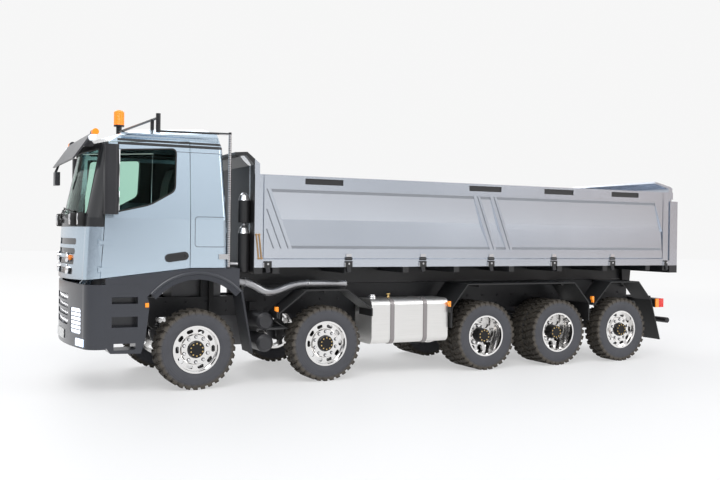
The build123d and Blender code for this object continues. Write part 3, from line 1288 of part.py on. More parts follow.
# Side boards: pressed panels folded in to a crease between slanted ribs, hinged along the floor's edge.
BOARD_LOW = 127.6
PANEL_TOP = 197.6
PANEL_CREASE = 167.0
PANEL_LOW = 137.0
FOLD_EDGE = 0.6
FOLD_DEEP = 2.4
RIB_LEAN = 23.5
PANELS = (  # front and rear edge of each panel at its top
    (-73.5, -315.5),
    (-324.5, -338.0),
    (-347.0, -589.0),
)
RIB_GROOVES = (  # top end of each groove beside the ribs: place ahead of axle 1, height
    (-68.5, PANEL_TOP),
    (-68.5, 177.0),
    (-68.5, 157.0),
    (-320.0, PANEL_TOP),
    (-342.5, PANEL_TOP),
)
RIB_SLOPE = RIB_LEAN / (PANEL_TOP - PANEL_LOW)
GROOVE_W = 1.4
GROOVE_DEEP = 0.6
TOP_SLOTS = (  # front and rear edge of each dark slot in the top rail
    (-110.6, -153.5),
    (-310.0, -353.7),
    (-415.0, -458.5),
    (-518.0, -562.0),
)

with BuildPart() as folds:
    with BuildSketch(side_plane(BED_HALF_W - 4.0)):
        for front, rear in PANELS:
            with BuildLine():
                Polyline(
                    (at(front), PANEL_TOP), (at(rear), PANEL_TOP), (at(rear - RIB_LEAN), PANEL_LOW),
                    (at(front - RIB_LEAN), PANEL_LOW), close=True,
                )
            make_face()
    extrude(amount=-5.0)
    with BuildSketch(across_plane(at(BOARD_REAR - 20.0))):
        Polygon(
            (BED_HALF_W + 1.0, PANEL_TOP), (BED_HALF_W - FOLD_EDGE, PANEL_TOP),
            (BED_HALF_W - FOLD_DEEP, PANEL_CREASE), (BED_HALF_W - FOLD_EDGE, PANEL_LOW),
            (BED_HALF_W + 1.0, PANEL_LOW), align=None,
        )
    extrude(amount=BOARD_FRONT - BOARD_REAR + 40.0, mode=Mode.INTERSECT)

with BuildPart() as board_left:
    with Locations((at((BOARD_FRONT + BOARD_REAR) / 2), BED_HALF_W - BOARD_T / 2, (BOARD_LOW + BOARD_TOP) / 2)):
        Box(BOARD_FRONT - BOARD_REAR - 0.8, BOARD_T, BOARD_TOP - BOARD_LOW)
    add(folds.part, mode=Mode.SUBTRACT)
    for front, rear in TOP_SLOTS:
        with Locations((at((front + rear) / 2), BED_HALF_W, 206.0)):
            Box(front - rear, 2.0, 6.0, mode=Mode.SUBTRACT)
    with BuildSketch(side_plane(BED_HALF_W - GROOVE_DEEP)):
        for top_back, top_z in RIB_GROOVES:
            low_back = top_back - RIB_SLOPE * (top_z - PANEL_LOW)
            with BuildLine():
                Polyline(
                    (at(top_back), top_z), (at(top_back - GROOVE_W), top_z),
                    (at(low_back - GROOVE_W), PANEL_LOW), (at(low_back), PANEL_LOW), close=True,
                )
            make_face()
    extrude(amount=-2.0, mode=Mode.SUBTRACT)
    for back in HINGE_BACKS[1:-1]:
        with Locations((at(back), BED_HALF_W + 0.2, BOARD_LOW + 2.6)):
            Box(6.0, 2.0, 4.0)
        hinge_end = at(back) - HINGE_LONG / 2 - 0.4
        with BuildSketch(Plane(origin=(hinge_end, BED_HALF_W, HINGE_Z), z_dir=(1, 0, 0))):
            Circle(HINGE_R + 0.35)
        extrude(amount=HINGE_LONG + 0.8, mode=Mode.SUBTRACT)
save(board_left, "side_board_left")

with BuildPart() as board_right:
    mirror(board_left.part, about=Plane.XZ)
save(board_right, "side_board_right")

# Tailgate: a ribbed plate behind the posts, hung from two pins at the top, with a hood that leans into the bed.
GATE_T = 6.0
GATE_LOW = 109.0
GATE_SHOULDER = 200.0
GATE_IN_Y = 81.0
GATE_RIB_T = 6.0
HOOD_HALF = 79.0
HOOD_OUTLINE = (  # place ahead of axle 1, height
    (-616.5, 199.0), (-627.0, 199.0), (-629.0, 217.0), (-626.0, 219.0), (-599.0, 225.0), (-598.4, 222.8),
    (-622.5, 216.4), (-621.0, 202.0),
)

with BuildPart() as tailgate:
    with Locations((at(TAILGATE_FRONT - GATE_T / 2), 0, (GATE_LOW + GATE_SHOULDER) / 2)):
        Box(GATE_T, 2 * BED_HALF_W, GATE_SHOULDER - GATE_LOW)
    for z in (GATE_LOW + 4.0, 150.0, GATE_SHOULDER - 4.0):
        with Locations((at(TAILGATE_FRONT - GATE_T - GATE_RIB_T / 2), 0, z)):
            Box(GATE_RIB_T + 2.0, 2 * BED_HALF_W, 8.0)
    for y in (-84.0, -28.0, 28.0, 84.0):
        with Locations((at(TAILGATE_FRONT - GATE_T - GATE_RIB_T / 2), y, (GATE_LOW + GATE_SHOULDER) / 2)):
            Box(GATE_RIB_T + 2.0, 8.0, GATE_SHOULDER - GATE_LOW)
    with BuildSketch(side_plane(-HOOD_HALF)):
        Polygon(*((at(back), z) for back, z in HOOD_OUTLINE), align=None)
    extrude(amount=-2 * HOOD_HALF)
    for side_name, side in SIDES:
        with BuildSketch(side_plane(side * (GATE_IN_Y - 2.5) - 2.5)):
            with Locations((at(TAILGATE_PIVOT_BACK), TAILGATE_PIVOT_Z)):
                Circle(4.5)
            with Locations((at(TAILGATE_PIVOT_BACK - 4.0), TAILGATE_PIVOT_Z - 4.0)):
                Rectangle(8.0, 8.0)
        extrude(amount=-5.0)
    with BuildSketch(side_plane(-BED_HALF_W, at(TAILGATE_PIVOT_BACK), TAILGATE_PIVOT_Z)):
        Circle(PIVOT_R + RUN_GAP)
    extrude(amount=-2 * BED_HALF_W, mode=Mode.SUBTRACT)
save(tailgate, "tailgate")

# Lift cylinder: a barrel hung on two trunnions and four stages that slide out of one another.
STAGE_STEP = 2.0
BARREL_TOP = 90.0

with BuildPart() as lift_barrel:
    with BuildSketch(Plane.XY.offset(LIFT_BASE_Z)):
        with Locations((at(LIFT_BACK), 0)):
            Circle(LIFT_BARREL_R)
    extrude(amount=BARREL_TOP - LIFT_BASE_Z)
    with BuildSketch(side_plane(-TRUNNION_END, at(LIFT_BACK), LIFT_TRUNNION_Z)):
        Circle(TRUNNION_R)
    extrude(amount=-2 * TRUNNION_END)
    with BuildSketch(Plane.XY.offset(LIFT_BASE_Z + 2.0)):
        with Locations((at(LIFT_BACK), 0)):
            Circle(LIFT_BARREL_R - LIFT_WALL)
    extrude(amount=BARREL_TOP - LIFT_BASE_Z, mode=Mode.SUBTRACT)
save(lift_barrel, "lift_barrel")

for stage in range(1, LIFT_STAGES + 1):
    stage_r = LIFT_BARREL_R - stage * (LIFT_WALL + LIFT_GAP)
    stage_top = BARREL_TOP + stage * STAGE_STEP
    with BuildPart() as lift_stage:
        with BuildSketch(Plane.XY.offset(LIFT_BASE_Z + 2.5)):
            with Locations((at(LIFT_BACK), 0)):
                Circle(stage_r)
                if stage < LIFT_STAGES:
                    Circle(stage_r - LIFT_WALL, mode=Mode.SUBTRACT)
        extrude(amount=stage_top - LIFT_BASE_Z - 2.5)
        if stage == LIFT_STAGES:
            with Locations((at(LIFT_BACK), 0, (stage_top + LIFT_HEAD_Z) / 2)):
                Cylinder(stage_r - 0.4, LIFT_HEAD_Z - stage_top)
            with Locations((at(LIFT_BACK), 0, LIFT_HEAD_Z)):
                Sphere(LIFT_HEAD_R)
    save(lift_stage, f"lift_stage_{stage}")
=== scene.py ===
from math import cos, pi, radians, sin

import bmesh
import bpy
from mathutils import Matrix, Quaternion, Vector


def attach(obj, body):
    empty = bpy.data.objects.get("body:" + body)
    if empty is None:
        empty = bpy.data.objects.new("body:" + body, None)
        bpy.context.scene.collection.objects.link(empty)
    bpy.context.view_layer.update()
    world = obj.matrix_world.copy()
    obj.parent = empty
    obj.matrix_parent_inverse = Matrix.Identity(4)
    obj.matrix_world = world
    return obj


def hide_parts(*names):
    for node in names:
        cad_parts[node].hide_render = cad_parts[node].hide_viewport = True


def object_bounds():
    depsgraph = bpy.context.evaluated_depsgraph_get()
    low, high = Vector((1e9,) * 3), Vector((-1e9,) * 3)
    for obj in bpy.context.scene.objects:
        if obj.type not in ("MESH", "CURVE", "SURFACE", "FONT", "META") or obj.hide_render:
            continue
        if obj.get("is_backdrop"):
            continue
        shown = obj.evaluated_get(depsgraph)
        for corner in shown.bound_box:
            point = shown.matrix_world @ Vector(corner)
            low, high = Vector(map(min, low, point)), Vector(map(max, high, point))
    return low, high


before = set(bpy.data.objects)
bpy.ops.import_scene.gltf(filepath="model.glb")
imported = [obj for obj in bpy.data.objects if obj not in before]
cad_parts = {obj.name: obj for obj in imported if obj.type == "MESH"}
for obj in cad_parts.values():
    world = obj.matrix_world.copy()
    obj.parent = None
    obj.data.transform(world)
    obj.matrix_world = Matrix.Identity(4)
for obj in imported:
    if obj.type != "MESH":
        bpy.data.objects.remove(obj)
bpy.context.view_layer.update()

# Ladder frame, tipper subframe, axles and springs: folded and forged steel, painted satin black. Hex screws
# along both rails hold the cross pieces. Sizes are in millimetres, and places are counted ahead of the first
# axle; limits of the paint masks are in metres, in the shared frame.
scene = bpy.context.scene
MM = 0.001
AXLE_1 = 257.0
RAIL_FACE_Y = 29.0
SCREW_ROWS = (71.0, 81.0)
SCREW_FIRST, SCREW_PITCH, SCREW_COUNT = 60.0, 21.5, 31
SCREW_SUNK, SCREW_LONG, SCREW_R = 0.2, 1.2, 1.3


class Wire:
    """One socket of a material's node tree. Arithmetic on it adds Math nodes to that tree."""

    def __init__(self, socket):
        self.socket = socket

    def node(self, kind, settings, inputs, out=0):
        """Adds a node, makes its settings, fills its sockets with values or wires and returns one output."""
        tree = self.socket.id_data
        made = tree.nodes.new("ShaderNode" + kind)
        for key, value in settings.items():
            setattr(made, key, value)
        for key, value in inputs.items():
            if isinstance(value, Wire):
                tree.links.new(value.socket, made.inputs[key])
            else:
                made.inputs[key].default_value = value
        return Wire(made.outputs[out])

    def math(self, operation, first, second=0.0):
        return self.node("Math", {"operation": operation}, {0: first, 1: second})

    def __add__(self, other):
        return self.math("ADD", self, other)

    __radd__ = __add__

    def __sub__(self, other):
        return self.math("SUBTRACT", self, other)

    def __rsub__(self, other):
        return self.math("SUBTRACT", other, self)

    def __mul__(self, other):
        return self.math("MULTIPLY", self, other)

    __rmul__ = __mul__

    def __pow__(self, other):
        return self.math("POWER", self, other)

    def __abs__(self):
        return self.math("ABSOLUTE", self)

    def __gt__(self, other):
        return self.math("GREATER_THAN", self, other)

    def __lt__(self, other):
        return self.math("LESS_THAN", self, other)

    def feed(self, shader, name):
        self.socket.id_data.links.new(self.socket, shader.inputs[name])

    def axes(self):
        made = self.node("SeparateXYZ", {}, {0: self}).socket.node
        return [Wire(made.outputs[index]) for index in range(3)]

    def between(self, low, high):
        return (self > low) * (self < high)

    def at_least(self, low):
        return self.math("MAXIMUM", self, low)

    def capped(self):
        return self.math("MINIMUM", self, 1.0)

    def wave(self):
        return self.math("SINE", self)

    def ramp(self, start, end, kind="LINEAR"):
        """From 0 to 1 between two values of this wire."""
        return self.node("MapRange", {"interpolation_type": kind}, {0: self, 1: start, 2: end})

    def ease(self, start, end):
        return self.ramp(start, end, "SMOOTHSTEP")

    def noise(self, scale, detail):
        return self.node("TexNoise", {}, {"Vector": self, "Scale": scale, "Detail": detail})

    def tint(self, low, high):
        """A colour between two, by this wire."""
        low, high = [end if isinstance(end, Wire) else (*end, 1.0) for end in (low, high)]
        return self.node("Mix", {"data_type": "RGBA"}, {0: self, 6: low, 7: high}, out=2)

    def bump(self, shader, depth, strength, invert=False):
        """Raises the surface by this wire, to a depth in millimetres."""
        inputs = {"Height": self, "Distance": depth * MM, "Strength": strength}
        self.node("Bump", {"invert": invert}, inputs).feed(shader, "Normal")


def new_finish(name):
    """An empty material, its surface shader and the place on the piece in the shared frame."""
    material = bpy.data.materials.new(name)
    material.use_nodes = True
    tree = material.node_tree
    shader = tree.nodes["Principled BSDF"]
    return material, shader, Wire(tree.nodes.new("ShaderNodeTexCoord").outputs["Object"])


def levels(shader, values):
    """Sets plain values on a surface shader."""
    for name, value in values.items():
        shader.inputs[name].default_value = value


def painted(name, colour, rough, metallic=0.0, coat=0.0, patch=0.05, grain=1400.0, depth=0.02):
    """Paint or moulded plastic: one colour with faint patches, a fine grain and an uneven sheen."""
    material, shader, place = new_finish(name)
    patches = place.noise(28.0, 4.0)
    dark = [c * (1.0 - 2.0 * patch) for c in colour]
    light = [min(c * (1.0 + 2.0 * patch), 1.0) for c in colour]
    patches.tint(dark, light).feed(shader, "Base Color")
    (patches * 0.16 + (rough - 0.08)).feed(shader, "Roughness")
    levels(shader, {"Metallic": metallic, "Coat Weight": coat, "Coat Roughness": 0.08})
    place.noise(grain, 3.0).bump(shader, depth, 0.5)
    return material


def dress(material, *nodes):
    """Puts a finish on CAD nodes."""
    for node in nodes:
        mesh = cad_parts[node].data
        mesh.materials.clear()
        mesh.materials.append(material)


def spot(back, y, z):
    """A point of the shared frame, in metres."""
    return Vector(((back + AXLE_1) * MM, y * MM, z * MM))


def finish_piece(name, shape, material, body, angle=32.0):
    """Makes the piece from its bmesh, gives it its finish and lets it ride on a body."""
    bmesh.ops.recalc_face_normals(shape, faces=shape.faces)
    mesh = bpy.data.meshes.new(name)
    shape.to_mesh(mesh)
    shape.free()
    mesh.shade_smooth()
    mesh.set_sharp_from_angle(angle=radians(angle))
    mesh.materials.append(material)
    piece = bpy.data.objects.new(name, mesh)
    scene.collection.objects.link(piece)
    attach(piece, body)
    return piece


def soften(shape, edges, size, segments=2):
    """Breaks edges by a bevel."""
    return bmesh.ops.bevel(
        shape, geom=edges, offset=size * MM, segments=segments, profile=0.5, affect="EDGES", material=-1,
    )


def rod(shape, start, end, radius, sides=16, edge=0.15):
    """A round or many-sided rod between two points, with its end edges broken."""
    along = end - start
    verts = bmesh.ops.create_cone(
        shape, cap_ends=True, segments=sides, radius1=radius * MM, radius2=radius * MM, depth=along.length,
    )["verts"]
    bmesh.ops.rotate(shape, cent=(0, 0, 0), matrix=along.to_track_quat("Z", "Y").to_matrix(), verts=verts)
    bmesh.ops.translate(shape, vec=(start + end) / 2, verts=verts)
    edges = {e for v in verts for e in v.link_edges}
    rims = [e for e in edges if any(len(f.verts) > 4 for f in e.link_faces)]
    soften(shape, rims, edge)


frame_black = painted("frame_black", (0.018, 0.018, 0.020), 0.42, metallic=0.1, patch=0.12)
forged_black = painted(
    "forged_black", (0.026, 0.025, 0.025), 0.55, metallic=0.3, patch=0.2, grain=700.0, depth=0.05,
)
dress(frame_black, "chassis_frame", "tipper_subframe")
dress(forged_black, "axles", "leaf_springs")

screws = bmesh.new()
for side in (1, -1):
    for step in range(SCREW_COUNT):
        for z in SCREW_ROWS:
            start = spot(SCREW_FIRST - SCREW_PITCH * step, side * (RAIL_FACE_Y - SCREW_SUNK), z)
            rod(screws, start, start + Vector((0, side * SCREW_LONG * MM, 0)), SCREW_R, sides=6, edge=0.2)
finish_piece("frame_screws", screws, frame_black, "chassis")

# Drive line: the motor and gearbox castings between the rails, and turned steel shafts to the driven axles.
# Bare grey metal with a sandy skin.
cast_grey = painted("cast_grey", (0.16, 0.16, 0.165), 0.5, metallic=0.7, patch=0.15, grain=900.0, depth=0.06)
dress(cast_grey, "drive_line")

# Steering knuckles and tie rods: machined and darkened steel. Each knuckle turns on its kingpin, and a tie
# rod joins the two knuckles of an axle.
dark_steel = painted("dark_steel", (0.12, 0.12, 0.125), 0.38, metallic=0.9, patch=0.12, grain=1600.0)
for number in (1, 2, 5):
    dress(dark_steel, f"knuckle_{number}_left", f"knuckle_{number}_right", f"tie_rod_{number}")

# Rims: turned and polished aluminium, with a black anodised hub in the middle. Round each hub stand ten
# wheel nuts on dark washers, and ten small brass screws hold the hub cap.
AXLES = (  # number, place, twin wheels
    (1, 0.0, False),
    (2, -137.5, False),
    (3, -337.0, True),
    (4, -440.5, True),
    (5, -538.5, False),
)
SIDES = (("left", 1), ("right", -1))
WHEEL_Z = 39.0
HUB_R = 8.6
NUTS = 10
SINGLE_WHEEL = (82.6, 86.0, 12.3)  # y of the nuts' seat, y of the cap's face, radius of the ring of nuts
TWIN_WHEEL = (66.9, 81.8, 10.2)
CAP_RING = 6.0
NUT_LONG, NUT_R = 2.4, 1.25
WASHER_THICK, WASHER_R = 0.45, 1.85
CAP_SCREW_LONG, CAP_SCREW_R = 0.7, 0.75


def wheel_radius(place, back):
    """Distance from the wheel's axis, in millimetres."""
    x, _, z = place.axes()
    ahead = (x * 1000.0) - (back + AXLE_1)
    above = (z * 1000.0) - WHEEL_Z
    return (ahead * ahead + above * above) ** 0.5


def polished_rim(name, back):
    """Bright metal with fine turning rings, black inside the hub's radius."""
    material, shader, place = new_finish(name)
    radius = wheel_radius(place, back)
    hub = radius < HUB_R
    turned = place.node("TexNoise", {"noise_dimensions": "1D"}, {"W": radius, "Scale": 6.0, "Detail": 3.0})
    hub.tint((0.80, 0.79, 0.78), (0.012, 0.012, 0.013)).feed(shader, "Base Color")
    (1.0 - hub * 0.6).feed(shader, "Metallic")
    (turned * 0.08 + hub * 0.25 + 0.08).feed(shader, "Roughness")
    turned.bump(shader, 0.01, 0.35)
    return material


brass = painted("brass", (0.72, 0.52, 0.22), 0.28, metallic=1.0, patch=0.08, grain=2000.0)
chrome = painted("chrome", (0.82, 0.82, 0.83), 0.12, metallic=1.0, patch=0.02, grain=2600.0, depth=0.004)
for number, back, twin in AXLES:
    rim_finish = polished_rim(f"polished_rim_{number}", back)
    face_y, cap_y, nut_ring = TWIN_WHEEL if twin else SINGLE_WHEEL
    for side_name, side in SIDES:
        at = f"{number}_{side_name}"
        dress(rim_finish, f"rim_{at}")
        nuts = bmesh.new()
        cap_screws = bmesh.new()
        washers = bmesh.new()
        outwards = Vector((0, side * MM, 0))
        for step in range(NUTS):
            turn = 2 * pi * (step + 0.5) / NUTS
            foot = spot(back + nut_ring * cos(turn), side * face_y, WHEEL_Z + nut_ring * sin(turn))
            rod(nuts, foot, foot + outwards * NUT_LONG, NUT_R, sides=6, edge=0.25)
            rod(washers, foot, foot + outwards * WASHER_THICK, WASHER_R, sides=18, edge=0.1)
            foot = spot(back + CAP_RING * cos(turn), side * cap_y, WHEEL_Z + CAP_RING * sin(turn))
            rod(cap_screws, foot, foot + outwards * CAP_SCREW_LONG, CAP_SCREW_R, sides=10, edge=0.2)
        finish_piece(f"nuts_{at}", nuts, chrome, f"wheel_{at}")
        finish_piece(f"washers_{at}", washers, dark_steel, f"wheel_{at}")
        finish_piece(f"cap_screws_{at}", cap_screws, brass, f"wheel_{at}")

# Tyres: moulded rubber with coarse blocks, two staggered shoulder rows and a row along the middle.
# The sidewall has fine mould rings, and dust stays in the grooves.
LUGS = 32
TYRE_R = 39.0
TREAD_BASE_R = 37.0
SINGLE_W = 23.0
TWIN_W = 21.0
TWIN_INNER_SHIFT = 25.0
WHEEL_OUT_Y = 86.5
CARCASS_STEPS = 72
SIDEWALL = (  # share of the half width, radius, from the bead to the tread
    (0.80, 22.3), (0.86, 23.6), (0.93, 25.0), (0.985, 28.0), (1.0, 31.0), (0.985, 33.6), (0.95, 35.4),
    (0.88, TREAD_BASE_R),
)
SHOULDER_BLOCK = (4.9, 0.62, 33.8, 14.0)  # length, share of the half width, radius of its foot, lean
MIDDLE_BLOCK = (4.4, 0.55, TREAD_BASE_R - 1.0, 32.0)
BLOCK_INSET, BLOCK_TAPER, BLOCK_EDGE = 0.15, 0.86, 0.35
DUSTY_R = (38.6, 36.0)  # no dust, full dust
TREAD_R = (33.5, 36.5)  # sidewall's tint, tread's tint
MOULD_RINGS_R = (25.5, 34.0)


def rubber(name, back):
    """Rubber, browner on the tread than on the sidewall, with paler dust in the grooves."""
    material, shader, place = new_finish(name)
    radius = wheel_radius(place, back)
    dust = place.noise(60.0, 5.0)
    groove = radius.ramp(*DUSTY_R)
    shade = dust * 0.45 + groove * 0.35
    flank_tint = shade.tint((0.045, 0.046, 0.052), (0.095, 0.096, 0.106))
    tread_tint = shade.tint((0.026, 0.024, 0.022), (0.135, 0.115, 0.090))
    radius.ramp(*TREAD_R).tint(flank_tint, tread_tint).feed(shader, "Base Color")
    (0.86 - groove * 0.1 - dust * 0.12).feed(shader, "Roughness")
    rings = (radius * 3.1).wave() * radius.between(*MOULD_RINGS_R)
    (rings * 0.5 + place.noise(900.0, 2.0) * 0.4).bump(shader, 0.08, 0.7)
    levels(shader, {"Specular IOR Level": 0.3})
    return material


def tread_block(shape, middle, y, long, wide, low, lean, stagger):
    """One row of blocks: a bevelled block at the top of the wheel, turned and repeated round the axle."""
    verts = bmesh.ops.create_cube(shape, size=1.0)["verts"]
    bmesh.ops.scale(shape, vec=(long * MM, wide * MM, (TYRE_R - low) * MM), verts=verts)
    for vert in verts:
        if vert.co.z > 0:
            vert.co.x *= BLOCK_TAPER
    bmesh.ops.rotate(shape, cent=(0, 0, 0), matrix=Matrix.Rotation(radians(lean), 3, "Z"), verts=verts)
    centre = middle + Vector((0, y * MM, (low + TYRE_R) / 2 * MM))
    bmesh.ops.translate(shape, vec=centre, verts=verts)
    edges = list({e for v in verts for e in v.link_edges if all(w.co.z > centre.z for w in e.verts)})
    bevelled = soften(shape, edges, BLOCK_EDGE, segments=1)
    faces = {f for v in verts if v.is_valid for f in v.link_faces} | set(bevelled["faces"])
    grown = {v for f in faces for v in f.verts}
    faces |= {f for v in grown for f in v.link_faces}
    block_verts = list({v for f in faces for v in f.verts})
    geom = block_verts + list({e for f in faces for e in f.edges}) + list(faces)
    turn = Matrix.Rotation(2 * pi * stagger / LUGS, 3, "Y")
    bmesh.ops.rotate(shape, cent=middle, matrix=turn, verts=block_verts)
    bmesh.ops.spin(
        shape, geom=geom, cent=middle, axis=(0, 1, 0), angle=2 * pi * (LUGS - 1) / LUGS, steps=LUGS - 1,
        use_duplicate=True,
    )


def add_tyre(shape, back, mid_y, width):
    """One tyre: the carcass is spun from its section, then the three rows of blocks are set on it."""
    middle = spot(back, mid_y, WHEEL_Z)
    half = width / 2
    section = [(share * half, r) for share, r in SIDEWALL]
    section = section + [(-y, r) for y, r in reversed(section)]
    verts = [shape.verts.new(middle + Vector((0, y * MM, r * MM))) for y, r in section]
    edges = [shape.edges.new((verts[i], verts[(i + 1) % len(verts)])) for i in range(len(verts))]
    bmesh.ops.spin(
        shape, geom=verts + edges, cent=middle, axis=(0, 1, 0), angle=2 * pi, steps=CARCASS_STEPS,
        use_merge=True,
    )
    long, share, low, lean = SHOULDER_BLOCK
    wide = half * share
    for side, stagger in ((1, 0.0), (-1, 0.5)):
        y = side * (half - wide / 2 - BLOCK_INSET)
        tread_block(shape, middle, y, long, wide, low, side * lean, stagger)
    long, share, low, lean = MIDDLE_BLOCK
    tread_block(shape, middle, 0.0, long, half * share, low, lean, 0.25)


for number, back, twin in AXLES:
    tyre_rubber = rubber(f"tyre_rubber_{number}", back)
    for side_name, side in SIDES:
        tyre = bmesh.new()
        width = TWIN_W if twin else SINGLE_W
        add_tyre(tyre, back, side * (WHEEL_OUT_Y - width / 2), width)
        if twin:
            add_tyre(tyre, back, side * (WHEEL_OUT_Y - width / 2 - TWIN_INNER_SHIFT), width)
        at = f"{number}_{side_name}"
        made = finish_piece(f"tread_{at}", tyre, tyre_rubber, f"wheel_{at}", angle=24.0)
        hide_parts(f"tyre_{at}")

# Fuel tank and battery box: the tank is brushed aluminium with two rubber-lined steel straps, and the box
# on the other side is black plastic. Both hang on brackets at the rails.
STRAP_BACKS = (-217.0, -258.0)
STRAP_W = 4.9
BRACKET_Y = 0.0415
BRUSH_LINES = (30.0, 2500.0, 2500.0)
FILLER = (-203.0, 60.0)  # place, y
VALVE = (-219.0, 68.0)
VALVE_KNOB_HALF = 2.2
tank_finish, shader, place = new_finish("brushed_tank")
x, y, _ = place.axes()
straps = [abs(x * 1000.0 - (back + AXLE_1)) < STRAP_W / 2 for back in STRAP_BACKS]
strap = straps[0] + straps[1]
box_side = y < 0.0
inner_side = abs(y) < BRACKET_Y
brushed = place.node("Mapping", {}, {"Vector": place, "Scale": BRUSH_LINES}).noise(1.0, 3.0)
metal = brushed.tint((0.72, 0.71, 0.69), (0.86, 0.85, 0.83))
with_strap = strap.tint(metal, (0.30, 0.28, 0.28))
with_box = box_side.tint(with_strap, (0.022, 0.022, 0.024))
inner_side.tint(with_box, (0.02, 0.02, 0.021)).feed(shader, "Base Color")
((1.0 - box_side) * (1.0 - inner_side) * (0.85 - strap * 0.3)).feed(shader, "Metallic")
(brushed * 0.14 + strap * 0.1 + box_side * 0.15 + 0.24).feed(shader, "Roughness")
brushed.bump(shader, 0.02, 0.3)
dress(tank_finish, "side_tanks")

filler = bmesh.new()
rod(filler, spot(*FILLER, 82.6), spot(*FILLER, 85.2), 5.2, sides=28, edge=0.5)
rod(filler, spot(*FILLER, 85.0), spot(*FILLER, 87.0), 4.2, sides=12, edge=0.4)
finish_piece("tank_filler", filler, chrome, "chassis")
valve = bmesh.new()
rod(valve, spot(*VALVE, 83.2), spot(*VALVE, 85.4), 1.9, sides=6, edge=0.2)
rod(valve, spot(*VALVE, 85.2), spot(*VALVE, 88.4), 1.1, sides=14, edge=0.2)
knob_ends = [spot(VALVE[0] + shift, VALVE[1], 88.0) for shift in (-VALVE_KNOB_HALF, VALVE_KNOB_HALF)]
rod(valve, *knob_ends, 0.8, sides=10, edge=0.2)
finish_piece("tank_valve", valve, brass, "chassis")

# Exhaust pipe and air tanks: the pipe is bent steel tube with a dull polish, drawn along its route and held
# by a bracket and two screwed clamps. The air tanks are black steel bottles.
AHEAD, ACROSS = Vector((1, 0, 0)), Vector((0, 1, 0))
PIPE_Y = 70.0
PIPE_R = 4.0
PIPE_ROUTE = (  # place and height of each bend
    (-38.0, 112.0), (-41.0, 104.8), (-60.0, 102.4), (-79.0, 89.4), (-108.0, 100.4), (-132.0, 100.0),
    (-166.0, 99.8),
)
CLAMPS = (0.24, 0.80)  # shares of the way along the pipe
CLAMP_HALF, CLAMP_THICK = 1.5, 0.5
CLAMP_SCREW_Y = (2.8, 5.2)
pipe_steel = painted("pipe_steel", (0.40, 0.40, 0.41), 0.32, metallic=0.9, patch=0.08, grain=1500.0)
route = bpy.data.curves.new("exhaust_route", "CURVE")
route.dimensions = "3D"
spline = route.splines.new("NURBS")
spline.points.add(len(PIPE_ROUTE) - 1)
for point, (back, z) in zip(spline.points, PIPE_ROUTE):
    point.co = (*spot(back, PIPE_Y, z), 1.0)
spline.order_u = 3
spline.use_endpoint_u = True
spline.resolution_u = 10
guide = bpy.data.objects.new("exhaust_route", route)
line = [v.co.copy() for v in bpy.data.meshes.new_from_object(guide).vertices]
bpy.data.objects.remove(guide)


def skin(shape, rings, closed=False):
    """Faces from each ring of points to the next, with a cap at both ends unless the rings close up."""
    pairs = list(zip(rings, rings[1:])) + ([(rings[-1], rings[0])] if closed else [])
    for ring, following in pairs:
        for k in range(len(ring)):
            shape.faces.new((ring[k], ring[k - 1], following[k - 1], following[k]))
    if not closed:
        shape.faces.new(rings[0])
        shape.faces.new(reversed(rings[-1]))


def tube_along(shape, points, radius, normal, sides=8, closed=False):
    """A round tube along a line of points; normal is a direction that the line never takes."""
    count = len(points)
    turns = [2 * pi * k / sides for k in range(sides)]
    rings = []
    for index, point in enumerate(points):
        before = points[index - 1] if index or closed else point
        after = points[(index + 1) % count] if index < count - 1 or closed else point
        along = ((after - point).normalized() + (point - before).normalized()).normalized()
        across = along.cross(normal).normalized()
        up = across.cross(along)
        rings.append([shape.verts.new(point + (across * cos(t) + up * sin(t)) * radius * MM) for t in turns])
    skin(shape, rings, closed)


def block(shape, middle, size, edge, turn=None):
    """A box with its edges rounded over, turned about its middle."""
    verts = bmesh.ops.create_cube(shape, size=1.0)["verts"]
    bmesh.ops.scale(shape, vec=Vector(size) * MM, verts=verts)
    if turn:
        bmesh.ops.rotate(shape, cent=(0, 0, 0), matrix=turn, verts=verts)
    bmesh.ops.translate(shape, vec=middle, verts=verts)
    soften(shape, list({e for v in verts for e in v.link_edges}), edge)


exhaust = bmesh.new()
tube_along(exhaust, line, PIPE_R, ACROSS, sides=20)
block(exhaust, spot(-163.0, 49.5, 96.6), (6.0, 41.0, 2.0), 0.4)
made = finish_piece("bent_exhaust", exhaust, pipe_steel, "chassis", angle=40.0)
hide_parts("exhaust_pipe")
bottle_black = painted("bottle_black", (0.03, 0.03, 0.033), 0.4, patch=0.1)
dress(bottle_black, "air_tanks")

clamps = bmesh.new()
for share in CLAMPS:
    index = int(share * len(line))
    middle = line[index]
    along = (line[index + 1] - line[index - 1]).normalized() * CLAMP_HALF * MM
    rod(clamps, middle - along, middle + along, PIPE_R + CLAMP_THICK, sides=24, edge=0.3)
    screw_ends = [middle + Vector((0, y * MM, 0)) for y in CLAMP_SCREW_Y]
    rod(clamps, *screw_ends, 1.0, sides=6, edge=0.2)
finish_piece("pipe_clamps", clamps, pipe_steel, "chassis")

